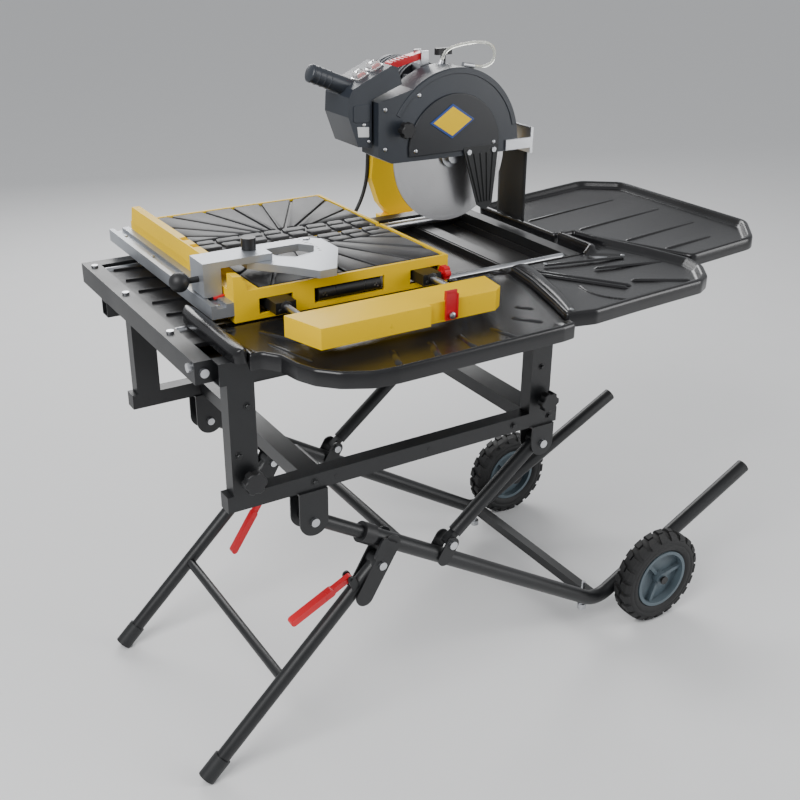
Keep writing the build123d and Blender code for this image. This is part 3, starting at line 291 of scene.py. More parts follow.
def prism(bm, outline, axis, low, high):
    """An outline pushed along an axis from low to high."""
    across, up, along = axes_for(axis)
    rings = []
    for level in (low, high):
        rings.append([bm.verts.new(across * p[0] + up * p[1] + along * level) for p in outline])
    count = len(outline)
    for i in range(count):
        j = (i + 1) % count
        bm.faces.new((rings[0][i], rings[0][j], rings[1][j], rings[1][i]))
    bm.faces.new(rings[0])
    bm.faces.new(rings[1])


def slab(bm, x, y, z):
    prism(bm, [(x[0], y[0]), (x[1], y[0]), (x[1], y[1]), (x[0], y[1])], "z", z[0], z[1])


def lathe(bm, profile, centre, direction, steps=48, start=0.0, closed=True):
    """A profile of (radius, distance along) turned round a line."""
    direction = Vector(direction).normalized()
    side = direction.orthogonal().normalized()
    other = direction.cross(side)
    centre = Vector(centre)
    rings = []
    for r, h in profile:
        ring = []
        for i in range(steps):
            a = start + 2 * math.pi * i / steps
            offset = side * (math.cos(a) * r) + other * (math.sin(a) * r)
            ring.append(bm.verts.new(centre + direction * h + offset))
        rings.append(ring)
    for low, high in zip(rings, rings[1:]):
        for i in range(steps):
            j = (i + 1) % steps
            bm.faces.new((low[i], low[j], high[j], high[i]))
    if closed:
        bm.faces.new(rings[0])
        bm.faces.new(rings[-1])


def rounded(outline, radius, steps=6, spacing=None):
    """The outline with round corners; radius is one number or one for each corner."""
    points = []
    count = len(outline)
    for i, corner in enumerate(outline):
        p = Vector(corner)
        before, after = Vector(outline[i - 1]) - p, Vector(outline[(i + 1) % count]) - p
        r = radius[i] if isinstance(radius, (list, tuple)) else radius
        half = before.angle(after) / 2
        cut = min(r / math.tan(half), before.length * 0.48, after.length * 0.48)
        a, b = p + before.normalized() * cut, p + after.normalized() * cut
        for k in range(steps + 1):
            t = k / steps
            points.append(a * (1 - t) ** 2 + p * (2 * t * (1 - t)) + b * t ** 2)
    if spacing is None:
        return [tuple(q) for q in points]
    spread = []
    for q, nxt in zip(points, points[1:] + points[:1]):
        pieces = max(1, int((nxt - q).length / spacing))
        spread += [tuple(q.lerp(nxt, k / pieces)) for k in range(pieces)]
    return spread


def inset(outline, distance):
    """The outline moved inwards by a distance, corner by corner. The outline runs counterclockwise."""
    result = []
    count = len(outline)
    for i in range(count):
        p = Vector(outline[i])
        a = (p - Vector(outline[i - 1])).normalized()
        b = (Vector(outline[(i + 1) % count]) - p).normalized()
        na, nb = Vector((-a.y, a.x)), Vector((-b.y, b.x))
        middle = na + nb
        scale = distance / max(0.3, middle.length_squared / 2)
        result.append(tuple(p + middle * scale))
    return result


def area(outline):
    return sum(a[0] * b[1] - b[0] * a[1] for a, b in zip(outline, outline[1:] + outline[:1])) / 2


def curve_piece(name, points, radius, body, look, order=3, cyclic=False, resolution=12):
    """A round NURBS line through control points given in millimetres."""
    data = bpy.data.curves.new(name, "CURVE")
    data.dimensions = "3D"
    data.bevel_depth = radius * MM
    data.bevel_resolution = 5
    data.use_fill_caps = True
    data.resolution_u = resolution
    spline = data.splines.new("NURBS")
    spline.points.add(len(points) - 1)
    for target, p in zip(spline.points, points):
        target.co = (p[0] * MM, p[1] * MM, p[2] * MM, 1)
    spline.order_u = order
    spline.use_endpoint_u = not cyclic
    spline.use_cyclic_u = cyclic
    obj = bpy.data.objects.new(name, data)
    bpy.context.scene.collection.objects.link(obj)
    data.materials.append(M[look])
    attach(obj, body)
    return obj


def hex_bolts(name, body, spots, direction, radius=6.0, height=4.0, look="zinc", washer=True):
    """Hex heads with chamfered tops on flat washers."""
    bm = bmesh.new()
    for spot in spots:
        if washer:
            lathe(bm, [(radius * 1.45, 0), (radius * 1.45, 1.0)], spot, direction, steps=24)
        base = 1.0 if washer else 0.0
        profile = [(radius, base), (radius, base + height - 0.8), (radius * 0.84, base + height)]
        lathe(bm, profile, spot, direction, steps=6)
    return piece(name, bm, body, look, bevel=0.25)


def round_screws(name, body, spots, direction, radius=4.5, look="zinc"):
    """Low domed screw heads with a cross recess."""
    bm = bmesh.new()
    direction = Vector(direction).normalized()
    side = direction.orthogonal().normalized()
    other = direction.cross(side)
    for spot in spots:
        head = [(radius, 0), (radius, 0.8), (radius * 0.8, 1.7), (radius * 0.45, 2.1)]
        lathe(bm, head, spot, direction, steps=20)
        for arm, wide in ((side, other), (other, side)):
            corners = []
            for a, b in ((-1, -1), (1, -1), (1, 1), (-1, 1)):
                centre = Vector(spot) + direction * 2.15
                corners.append(centre + arm * (a * radius * 0.4) + wide * (b * radius * 0.09))
            bm.faces.new([bm.verts.new(c) for c in corners])
    return piece(name, bm, body, look)


# ---------------------------------------------------------------- camera, floor and light
def make_camera():
    yaw, pitch, roll = (math.radians(a) for a in (32.1, 25.15, 0.66))
    forward = Vector((math.sin(yaw) * math.cos(pitch), math.cos(yaw) * math.cos(pitch), -math.sin(pitch)))
    right = Vector((math.cos(yaw), -math.sin(yaw), 0))
    up = right.cross(forward)
    image_right = right * math.cos(roll) + up * math.sin(roll)
    image_up = up * math.cos(roll) - right * math.sin(roll)
    data = bpy.data.cameras.new("camera")
    data.sensor_width = 36.0
    data.lens = 48.7
    camera = bpy.data.objects.new("camera", data)
    turn = Matrix((image_right, image_up, -forward)).transposed().to_4x4()
    camera.matrix_world = Matrix.Translation((-1.114, -1.592, 1.400)) @ turn
    bpy.context.scene.collection.objects.link(camera)
    bpy.context.scene.camera = camera


def make_floor():
    bm = bmesh.new()
    bmesh.ops.create_grid(bm, x_segments=2, y_segments=2, size=60)
    mesh = bpy.data.meshes.new("floor")
    bm.to_mesh(mesh)
    bm.free()
    floor = bpy.data.objects.new("floor", mesh)
    floor.location = (0, 0, -0.0005)
    bpy.context.scene.collection.objects.link(floor)
    mesh.materials.append(surface("floor_white", (0.80, 0.80, 0.80), rough=0.7, grain=30, bump=0.01, vary=0.005))


def area_light(name, place, target, size, power, colour=(1, 1, 1)):
    data = bpy.data.lights.new(name, "AREA")
    data.shape = "RECTANGLE"
    data.size, data.size_y = size
    data.energy = power
    data.color = colour
    light = bpy.data.objects.new(name, data)
    place = Vector(place)
    light.location = place
    light.rotation_euler = (Vector(target) - place).to_track_quat("-Z", "Y").to_euler()
    bpy.context.scene.collection.objects.link(light)


def make_lights():
    world = bpy.data.worlds.new("studio")
    world.use_nodes = True
    world.node_tree.nodes["Background"].inputs["Color"].default_value = (0.95, 0.97, 1.0, 1)
    world.node_tree.nodes["Background"].inputs["Strength"].default_value = 0.55
    bpy.context.scene.world = world
    area_light("key", (-2.2, -1.0, 2.6), (0, 0, 0.7), (1.8, 1.8), 80)
    area_light("side", (2.4, -2.2, 1.6), (0.1, 0, 0.6), (1.2, 2.4), 50)
    area_light("back", (0.8, 3.0, 2.2), (0, 0, 0.8), (2.6, 1.2), 70)


# ---------------------------------------------------------------- cords
def lead_mesh(name, route):
    """A mesh tube made from a bevelled curve, with the line that it follows."""
    graph = bpy.context.evaluated_depsgraph_get()
    tube = bpy.data.objects.new(name, bpy.data.meshes.new_from_object(route.evaluated_get(graph)))
    tube.data.shade_smooth()
    bpy.context.scene.collection.objects.link(tube)
    route.data.bevel_depth = 0
    bpy.context.view_layer.update()
    graph = bpy.context.evaluated_depsgraph_get()
    line = bpy.data.meshes.new_from_object(route.evaluated_get(graph))
    path = [tuple(v.co) for v in line.vertices]
    bpy.data.objects.remove(route)
    return tube, path


def make_cords():
    power = [(52, 346, 1036), (52, 366, 1031), (51, 383, 1019), (50, 392, 1000), (48, 396, 972), (46, 397, 930),
             (45, 396, 886), (42, 395, 845), (34, 396, 812), (20, 395, 785), (4, 389, 768), (-8, 379, 757),
             (-12, 362, 754), (-12, 345, 754)]
    route = curve_piece("power_lead_route", power, CORD_R, "stand", "rubber", resolution=24)
    cord, path = lead_mesh("power_lead", route)
    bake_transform(cord)
    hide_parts("power_cord")
    bm = bmesh.new()
    relief = [(8.5, 0), (8.0, 3), (6.8, 3.6), (6.2, 12), (4.9, 24), (CORD_R, 24.6)]
    lathe(bm, relief, (52, 344, 1036.4), (0, 0.97, -0.243), steps=32)
    piece("lead_strain_relief", bm, "head", "rubber", smooth=40)
    water = [(62, 150, 1116), (66, 150, 1126), (75, 149, 1135), (90, 147, 1140), (108, 145, 1143),
             (127, 143, 1145), (146, 142, 1145), (162, 142, 1142), (173, 142, 1135), (179, 142, 1124),
             (178, 143, 1112),
             (171, 145, 1103), (160, 147, 1099), (148, 149, 1099), (136, 150, 1101)]
    hose = curve_piece("clear_water_tube", water, HOSE_R, "head", "clear", resolution=24)
    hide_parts("water_hose")


# ---------------------------------------------------------------- wheels
def make_tyre(name, body, node, side):
    """A solid tyre with shoulder lugs on both sides of a centre groove."""
    bm = bmesh.new()
    half = TYRE_W / 2
    base = TYRE_R - 6
    centre = (WHEEL_AXIS[0], side * WHEEL_Y, WHEEL_AXIS[1])
    wall = [(HUB_R, -half + 6), (HUB_R + 3, -half + 3), (HUB_R + 8, -half + 0.5), (HUB_R + 14, -half),
            (HUB_R + 16, -half + 1), (HUB_R + 18, -half), (base - 8, -half + 1), (base - 3, -half + 3.5),
            (base, -half + 9)]
    profile = wall + [(base, 0)] + [(r, -h) for r, h in reversed(wall)]
    lathe(bm, profile, centre, Y, steps=96, closed=False)
    lathe_close(bm, profile, 96)
    count = 22
    for i in range(count):
        for edge in (-1, 1):
            a = 2 * math.pi * (i + (0.25 if edge > 0 else 0.75)) / count
            add_lug(bm, centre, a, edge, half, base)
    obj = piece(name, bm, body, "tyre", bevel=0.8, smooth=40)
    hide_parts(node)


def lathe_close(bm, profile, steps):
    """Joins the last ring of an open lathe to its first one."""
    bm.verts.ensure_lookup_table()
    first = bm.verts[0:steps]
    last = bm.verts[(len(profile) - 1) * steps:len(profile) * steps]
    for i in range(steps):
        j = (i + 1) % steps
        bm.faces.new((last[i], last[j], first[j], first[i]))


def add_lug(bm, centre, angle, edge, half, base):
    """One tread block: wide at the shoulder, narrower at the middle of the tread."""
    def at(a, r, y):
        return Vector((centre[0] + r * math.cos(a), centre[1] + y, centre[2] + r * math.sin(a)))

    wide, narrow = math.radians(5.4), math.radians(3.6)
    skew = math.radians(3.0) * edge
    outer, inner = edge * (half - 1.0), edge * 2.0
    low = [at(angle - wide, base - 6, outer), at(angle + wide, base - 6, outer),
           at(angle + narrow + skew, base - 1, inner), at(angle - narrow + skew, base - 1, inner)]
    shoulder = edge * (half - 6)
    high = [at(angle - wide, base - 1, outer), at(angle + wide, base - 1, outer),
            at(angle + wide, TYRE_R - 0.8, shoulder), at(angle + narrow + skew, TYRE_R, inner),
            at(angle - narrow + skew, TYRE_R, inner), at(angle - wide, TYRE_R - 0.8, shoulder)]
    b = [bm.verts.new(v) for v in low]
    t = [bm.verts.new(v) for v in high]
    bm.faces.new(b)
    bm.faces.new((t[0], t[1], t[2], t[5]))
    bm.faces.new((t[5], t[2], t[3], t[4]))
    bm.faces.new((b[0], b[1], t[1], t[0]))
    bm.faces.new((b[2], b[3], t[4], t[3]))
    bm.faces.new((b[1], b[2], t[3], t[2], t[1]))
    bm.faces.new((b[3], b[0], t[0], t[5], t[4]))


# ---------------------------------------------------------------- trays
def tray_shell(name, outline, radius, levels, node, clamp=None, tilt=None, rim_width=14.0, arm=1000):
    """A moulded tray: skirt, rolled rim and floor follow one rounded outline, closer together beyond y = arm."""
    skirt, rim, floor = levels
    edge = rounded(outline, radius, steps=8, spacing=12)
    w = rim_width
    section = [(2.6, skirt), (0.4, skirt), (0, skirt + 2), (0, rim - 5), (0.9, rim - 2), (3, rim - 0.3),
               (w * 0.45, rim), (w * 0.66, rim - 0.6), (w * 0.82, rim - 3), (w, floor + 4.5),
               (w + 3, floor + 1.2), (w + 8, floor)]
    bm = bmesh.new()
    rings = []
    for distance, height in section:
        wide, narrow = inset(edge, distance), inset(edge, min(distance, 13))
        line = [n if n[1] > arm else p for p, n in zip(wide, narrow)]
        rings.append([bm.verts.new((p[0], p[1], height)) for p in line])
    count = len(edge)
    for low, high in zip(rings, rings[1:]):
        for i in range(count):
            j = (i + 1) % count
            bm.faces.new((low[i], low[j], high[j], high[i]))
    points = [v.co.xy for v in rings[-1]]
    places, _, triangles = delaunay_2d_cdt(points, [], [list(range(count))], 1, 0.001)[:3]
    sheet = [bm.verts.new((v.x, v.y, floor)) for v in places]
    for triangle in triangles:
        bm.faces.new([sheet[i] for i in triangle])
    bmesh.ops.remove_doubles(bm, verts=rings[-1] + sheet, dist=0.01)
    if clamp:
        for v in bm.verts:
            clamp(v)
    if tilt:
        centre, angle = tilt
        bmesh.ops.rotate(bm, verts=bm.verts, cent=centre, matrix=Matrix.Rotation(angle, 3, "Y"))
    obj = piece(name, bm, "stand", "tray", smooth=50)
    thick = obj.modifiers.new("wall", "SOLIDIFY")
    thick.thickness = 2.2 * MM
    thick.offset = -1
    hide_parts(node)
    return obj


def rib_frame(start, end):
    a, b = Vector((start[0], start[1], 0)), Vector((end[0], end[1], 0))
    along = (b - a).normalized()
    return a, b, along, Vector((-along.y, along.x, 0))


def tray_rib(bm, start, end, floor, width=9.0, height=2.6):
    """A low round-topped rib between two points on a tray's floor."""
    a, b, along, side = rib_frame(start, end)
    section = [(-width / 2, 0), (-width * 0.32, height * 0.75), (0, height), (width * 0.32, height * 0.75),
               (width / 2, 0)]
    stations = [(a, 0.0), (a + along * 6, 1.0), (b - along * 6, 1.0), (b, 0.0)]
    rings = []
    for centre, grow in stations:
        ring = []
        for s, h in section:
            p = centre + side * (s * (0.4 + 0.6 * grow))
            ring.append(bm.verts.new((p.x, p.y, floor - 0.4 + h * grow)))
        rings.append(ring)
    for low, high in zip(rings, rings[1:]):
        for i in range(len(section) - 1):
            bm.faces.new((low[i], low[i + 1], high[i + 1], high[i]))


def rolled_bar(bm, spine, low, high, widths, steps=8):
    """A moulded bar with a round top that follows a line, each point with its own width."""
    rings = []
    for i, (p, width) in enumerate(zip(spine, widths)):
        before, after = Vector(spine[max(0, i - 1)]), Vector(spine[min(len(spine) - 1, i + 1)])
        along = (after - before).normalized()
        side = Vector((-along.y, along.x))
        half = width / 2
        ring = [(-half, low)]
        for k in range(steps + 1):
            t = math.pi * (1 - k / steps)
            ring.append((half * math.cos(t), low + (high - low) * (0.45 + 0.55 * math.sin(t) ** 0.6)))
        ring.append((half, low))
        rings.append([bm.verts.new((p[0] + side.x * s, p[1] + side.y * s, h)) for s, h in ring])
    for a, b in zip(rings, rings[1:]):
        for i in range(len(a) - 1):
            bm.faces.new((a[i], a[i + 1], b[i + 1], b[i]))
    bm.faces.new(rings[0])
    bm.faces.new(rings[-1])


def smooth_line(points, steps=6):
    """A Catmull-Rom line through points."""
    result = []
    count = len(points)
    for i in range(count - 1):
        p0, p1 = Vector(points[max(0, i - 1)]), Vector(points[i])
        p2, p3 = Vector(points[i + 1]), Vector(points[min(count - 1, i + 2)])
        for k in range(steps):
            t = k / steps
            result.append((p1 * 2 + (p2 - p0) * t + (p0 * 2 - p1 * 5 + p2 * 4 - p3) * t * t
                           + (p1 * 3 - p0 - p2 * 3 + p3) * t ** 3) * 0.5)
    result.append(Vector(points[-1]))
    return result


def under_cart(v):
    """The trays stay below the cart where it slides over them, and stop on the frame."""
    x, y, z = v.co
    if y > CART_EDGE_Y and -112 < x < 252:
        v.co.z = min(z, UNDER_CART)
    if y > -236 and x < 241 and z < FRAME_TOP:
        v.co.z = FRAME_TOP


def front_tray_edge(v):
    """The front tray has no rim where it meets the right tray and under the cart."""
    under_cart(v)
    x, y, z = v.co
    near_right = x > -50 and y > -370
    near_back = y > -132
    if (near_right or near_back) and z > 779:
        v.co.z = min(v.co.z, UNDER_CART if y > CART_EDGE_Y else TRAY_FLOOR + 0.5)


def front_tray_ribs():
    """The moulded ribs and the tall rounded bar of the front tray."""
    bm = bmesh.new()
    spread = [(-330, -318, -352, -376), (-262, -318, -285, -378), (-210, -318, -218, -378),
              (-150, -318, -140, -376), (-96, -300, -62, -345), (-60, -262, -38, -290)]
    for x0, y0, x1, y1 in spread:
        tray_rib(bm, (x0, y0), (x1, y1), TRAY_FLOOR, width=13, height=2.4)
    for x0, y0, x1, y1 in ((-470, -150, -430, -230), (-478, -200, -452, -300)):
        tray_rib(bm, (x0, y0), (x1, y1), TRAY_FLOOR, width=10, height=2.4)
    for x in range(-350, -60, 58):
        tray_rib(bm, (x, -215), (x + 12, -140), TRAY_FLOOR, width=10, height=2.0)
    piece("front_tray_ribs", bm, "stand", "tray", smooth=60)
    bm = bmesh.new()
    spine = [(-540, y) for y in (-247, -243, -236, -226, -212, -190, -150, -110, -70, -48, -38, -33)]
    widths = [10, 18, 23, 26, 27, 27, 27, 27, 27, 25, 20, 12]
    rolled_bar(bm, spine, 776.8, 800, widths)
    piece("front_tray_boss", bm, "stand", "tray", smooth=60)


def right_tray_ribs():
    """The fan of ribs, the rolled edge bar and the screws of the right tray."""
    bm = bmesh.new()
    for start, end in (((120, -116), (285, -150)), ((72, -136), (170, -287)), ((84, -130), (184, -280)),
                       ((190, -176), (330, -206)), ((204, -258), (296, -312))):
        tray_rib(bm, start, end, TRAY_FLOOR, width=11, height=3.2)
    arc = [(128, -330), (106, -302), (98, -270), (104, -240)]
    for a, b in zip(smooth_line(arc), smooth_line(arc)[1:]):
        tray_rib(bm, a, b, TRAY_FLOOR, width=9, height=1.8)
    piece("right_tray_ribs", bm, "stand", "tray", smooth=60)
    bm = bmesh.new()
    spine = smooth_line([(-12, -350), (2, -322), (24, -268), (44, -205), (60, -150), (64, -116)])
    widths = [16 + 20 * i / (len(spine) - 1) for i in range(len(spine))]
    rolled_bar(bm, spine, 781, 793.5, widths)
    piece("right_tray_bar", bm, "stand", "tray", smooth=60)
    round_screws("tray_screws", "stand", [(122, -118, 784), (283, -149, 784), (-8, -346, 793)], Z, radius=4)


def rear_tray_ribs(tilt):
    """Four long ribs on the tilted rear tray."""
    bm = bmesh.new()
    for y, left, right in ((160, 300, 540), (48, 345, 568), (-62, 372, 560), (-146, 396, 520)):
        tray_rib(bm, (left, y), (right, y), 769, width=10, height=2.4)
    bmesh.ops.rotate(bm, verts=bm.verts, cent=tilt[0], matrix=Matrix.Rotation(tilt[1], 3, "Y"))
    piece("rear_tray_ribs", bm, "stand", "tray", smooth=60)


def make_trays():
    front = [(-530, -250), (-512, -250), (-494, -275), (-487, -315), (-474, -345), (-448, -372), (-405, -395),
             (-366, -398), (-60, -393), (-33, -389), (-29.5, -356), (-7.5, -294), (23.5, -195), (37.5, -126),
             (37.5, -84), (-75, -84), (-75, -112), (-530, -112)]
    tray_shell("front_tray_skin", front, [4, 14, 22, 26, 30, 40, 40, 40, 14, 8, 12, 30, 30, 20, 3, 3, 3, 3],
               (764, 790, TRAY_FLOOR), "front_tray", clamp=front_tray_edge, rim_width=11)
    front_tray_ribs()
    right = [(-27, -356), (28, -368), (130, -358), (288, -346), (318, -330), (352, -286), (364, -240), (344, -156),
             (310, -50), (300, 6), (290, 12), (255, 12), (255, -84), (40, -84), (40, -126), (26, -195), (-5, -294)]
    tray_shell("right_tray_skin", right, [8, 30, 40, 30, 26, 26, 26, 60, 60, 8, 8, 5, 3, 3, 12, 30, 30],
               (768, 793, TRAY_FLOOR), "right_tray", clamp=under_cart, rim_width=15, arm=-80)
    right_tray_ribs()
    rear = [(264, 30), (296, 30), (386, -228), (550, -228), (617, -150), (617, 220), (550, 292), (264, 292)]
    tilt = (Vector((264, 0, 766)), math.radians(-4.0))
    tray_shell("rear_tray_skin", rear, [10, 14, 18, 44, 44, 44, 44, 14], (758, 782, 769), "rear_tray", tilt=tilt)
    rear_tray_ribs(tilt)


# ---------------------------------------------------------------- cart mats
def clip(polygon, point, normal):
    """The part of a convex polygon on the normal's side of a line."""
    result = []
    for i, p in enumerate(polygon):
        q = polygon[(i + 1) % len(polygon)]
        dp = (p[0] - point[0]) * normal[0] + (p[1] - point[1]) * normal[1]
        dq = (q[0] - point[0]) * normal[0] + (q[1] - point[1]) * normal[1]
        if dp >= 0:
            result.append(p)
        if dp * dq < 0:
            t = dp / (dp - dq)
            result.append((p[0] + (q[0] - p[0]) * t, p[1] + (q[1] - p[1]) * t))
    return result


def mat_pad(bm, polygon, gap=2.6):
    """One raised block of the mat, with sloped sides."""
    if len(polygon) < 3 or abs(area(polygon)) < 260:
        return
    if area(polygon) < 0:
        polygon = list(reversed(polygon))
    for i, p in enumerate(polygon):
        q = polygon[(i + 1) % len(polygon)]
        if math.dist(p, q) < 3:
            return mat_pad(bm, polygon[:i] + polygon[i + 1:], gap)
    spans = [math.dist(p, polygon[(i + 1) % len(polygon)]) for i, p in enumerate(polygon)]
    low = inset(polygon, gap)
    if area(low) <= 150:
        return
    soft = rounded(low, min(6.0, min(spans) * 0.3), steps=3)
    levels = [(0, MAT_BASE + 2.5), (0, MAT_TOP - 2.2), (0.7, MAT_TOP - 0.7), (2.0, MAT_TOP)]
    rings = [[bm.verts.new((p[0], p[1], z)) for p in inset(soft, d)] for d, z in levels]
    for a, b in zip(rings, rings[1:]):
        for i in range(len(a)):
            j = (i + 1) % len(a)
            bm.faces.new((a[i], a[j], b[j], b[i]))
    bm.faces.new(rings[-1])


def make_mats():
    bm = bmesh.new()
    inner = [(DECK_Y[0], BLADE_Y - 6), (BLADE_Y + 6, DECK_Y[1])]
    for low, high in inner:
        slab(bm, DECK_X, (low, high), (MAT_BASE + 0.2, MAT_BASE + 3))
    row = 27
    fields = [(BLADE_Y + 6 + 2 * row, DECK_Y[1], 0, 180), (DECK_Y[0], BLADE_Y - 6 - 2 * row, 180, 360)]
    for low, high, start, stop in fields:
        step = 15
        for k in range(int((stop - start) / step)):
            a, b = math.radians(start + k * step), math.radians(start + (k + 1) * step)
            field = [(DECK_X[0] + 1, low), (DECK_X[1] - 1, low), (DECK_X[1] - 1, high), (DECK_X[0] + 1, high)]
            field = clip(field, FAN_CENTRE, (-math.sin(a), math.cos(a)))
            field = clip(field, FAN_CENTRE, (math.sin(b), -math.cos(b)))
            mat_pad(bm, field)
    for side in (-1, 1):
        for k in range(2):
            near = BLADE_Y + side * (6 + row * k)
            far = BLADE_Y + side * (6 + row * (k + 1))
            x = DECK_X[0] + 1
            index = 0
            while x < DECK_X[1] - 8:
                length = (44, 38, 50)[(index + k) % 3]
                end = min(x + length, DECK_X[1] - 1)
                lean = 6 if k else -4
                mat_pad(bm, [(x, near), (end, near), (min(end + lean, DECK_X[1] - 1), far), (x + lean, far)])
                x = end
                index += 1
    obj = piece("cart_mat_blocks", bm, "cart", "mat", smooth=30)
    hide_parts("cart_mats")


# ---------------------------------------------------------------- cart details
def make_cart_details():
    bm = bmesh.new()
    for i in range(48):
        y = -95 + i * 10
        long = i % 5 == 0
        slab(bm, (-499 - (7 if long else 4), -499), (y - 0.35, y + 0.35), (815, 815.12))
    piece("ruler_ticks", bm, "cart", "black_plastic")
    round_screws("ruler_screws", "cart", [(-508, y, 809.5) for y in (-84, 60, 205, 350)], Z, radius=4)
    bm = bmesh.new()
    for x in (-414, -138):
        for dx in (-11, 11):
            lathe(bm, [(3.4, 0), (3.4, 2.2), (2.4, 3)], (x + dx, -135, 801), -Y, steps=18)
        lathe(bm, [(10, 0), (10, 1.5), (8, 2.4), (6.2, 2.4)], (x, -135, 806), -Y, steps=32)
    piece("receiver_details", bm, "cart", "black_plastic", bevel=0.3)
    bm = bmesh.new()
    profile = [(9.5, 0), (12.6, 0.8), (12.6, 30), (11.6, 31), (11.6, 33), (12.6, 34), (12.6, 86), (11.6, 87),
               (11.6, 89), (12.6, 90), (12.6, 119), (9.5, 120)]
    lathe(bm, profile, (-338, -89.5, 801), X, steps=48)
    piece("window_roller", bm, "cart", "black_plastic", bevel=0.3)
    bm = bmesh.new()
    for x in (-330, -232):
        for dx, dz in ((0, 4), (6, 2), (3, 7)):
            lathe(bm, [(1.6, 0), (1.6, 0.6)], (x + dx, -102.0, 797 + dz), -Y, steps=12)
    piece("window_roller_screws", bm, "cart", "zinc")
    bm = bmesh.new()
    prism(bm, [(-505, 812), (-487.5, 816), (-487.5, 818.5), (-505, 815.5)], "y", -66, -58)
    piece("ruler_pointer", bm, "guide", "red", bevel=0.5)
    round_screws("latch_screw_head", "extension", [(-212, -305, 808)], -Y, radius=5.2)


def make_sector_details():
    """Degree marks, the raised rim of the window and a screw on the protractor plate."""
    bm = bmesh.new()
    centre = Vector((-424, -24))
    for i in range(19):
        a = math.radians(-50 + i * 5)
        inner = 112 if i % 3 == 0 else 116
        direction = Vector((math.cos(a), math.sin(a)))
        side = Vector((-direction.y, direction.x)) * 0.5
        p, q = centre + direction * inner, centre + direction * 121
        if not (-60 < p.y < 24 and p.x < -284):
            continue
        corners = [p - side, q - side, q + side, p + side]
        prism(bm, [tuple(c) for c in corners], "z", PLATE_TOP, PLATE_TOP + 0.2)
    piece("degree_marks", bm, "protractor", "black_plastic")
    window = [(-392, -4), (-324, -4), (-306, -26), (-322, -56), (-360, -66), (-386, -44)]
    rim = rounded(window, 6, steps=4)
    bm = bmesh.new()
    outer = inset(rim, 3.5 if area(rim) < 0 else -3.5)
    low, high = PLATE_TOP - 0.3, PLATE_TOP + 0.3
    low_in = [bm.verts.new((p[0], p[1], low)) for p in rim]
    low_out = [bm.verts.new((p[0], p[1], low)) for p in outer]
    high_in = [bm.verts.new((p[0], p[1], high)) for p in rim]
    high_out = [bm.verts.new((p[0], p[1], high)) for p in outer]
    for i in range(len(rim)):
        j = (i + 1) % len(rim)
        bm.faces.new((low_in[i], low_in[j], high_in[j], high_in[i]))
        bm.faces.new((high_in[i], high_in[j], high_out[j], high_out[i]))
        bm.faces.new((high_out[i], high_out[j], low_out[j], low_out[i]))
    piece("window_rim", bm, "protractor", "cast", bevel=0.5)
    round_screws("sector_screws", "protractor", [(-300, 14, 860.5)], Z, radius=6.5)


# ---------------------------------------------------------------- head details
def guard_arc(radius, start, stop, centre=(60, 960), steps=40):
    return [(centre[0] + radius * math.cos(math.radians(start + (stop - start) * i / steps)),
             centre[1] + radius * math.sin(math.radians(start + (stop - start) * i / steps)))
            for i in range(steps + 1)]


def make_guard_details():
    panel = guard_arc(104, 172, 8) + [(161, 956), (-42, 956)]
    bm = bmesh.new()
    prism(bm, panel, "y", 94.5, 98.2)
    piece("guard_side_panel", bm, "head", "panel", bevel=1.4, segments=3)
    bm = bmesh.new()
    band = guard_arc(148, 150, 14) + guard_arc(139, 14, 150)
    prism(bm, band, "y", 96.4, 98.2)
    piece("guard_rim_band", bm, "head", "charcoal", bevel=0.8)
    bm = bmesh.new()
    prism(bm, [(2, 1014), (52, 1046), (102, 1014), (52, 982)], "y", 92.9, 94.7)
    piece("badge_back", bm, "head", "blue", bevel=0.5)
    bm = bmesh.new()
    prism(bm, [(9, 1014), (52, 1041), (95, 1014), (52, 987)], "y", 92.2, 93.1)
    piece("badge_front", bm, "head", "yellow", bevel=0.4)
    round_screws("guard_screws", "head", [(-92, 98, 975), (-92, 98, 1046), (-20, 98, 1066), (196, 98, 962),
                                          (150, 94.5, 966), (-28, 94.5, 966)], -Y, radius=4)


def make_lever_details():
    """Ribs, side flanges and end caps on the red levers and the flip stop."""
    bm = bmesh.new()
    slab(bm, (-202.2, -200.0), (-303, -295), (802, 842))
    prism(bm, [(-301.0, 844), (-294.4, 844), (-294.4, 847), (-301.0, 849)], "x", -222, -202)
    piece("flip_stop_flange", bm, "flip_stop", "red", bevel=0.6)
    bm = bmesh.new()
    for i in range(5):
        x = -30 + i * 8
        z = 1110 + (x + 34) * 15 / 68
        prism(bm, [(x - 2, z + 5.5), (x + 2, z + 5.5), (x + 2, z + 7.0), (x - 2, z + 7.0)], "y", 171, 187)
    piece("lift_lever_ribs", bm, "lift_lever", "red", bevel=0.5)


def make_grip_details():
    """Rubber rings and an end cap on the round grip."""
    start, end = Vector((-214, 152, 1112)), Vector((-134, 152, 1080))
    along = (end - start).normalized()
    bm = bmesh.new()
    lathe(bm, [(12.5, -2.2), (15.4, -0.6), (16.6, 1.6), (16.6, 4.0), (15.9, 4.6)], start, along, steps=48)
    for i in range(3):
        centre = start + along * (14 + i * 12)
        lathe(bm, [(15.9, -1.4), (16.7, -0.6), (16.7, 0.6), (15.9, 1.4)], centre, along, steps=48, closed=False)
    piece("grip_rings", bm, "head", "charcoal", smooth=50)


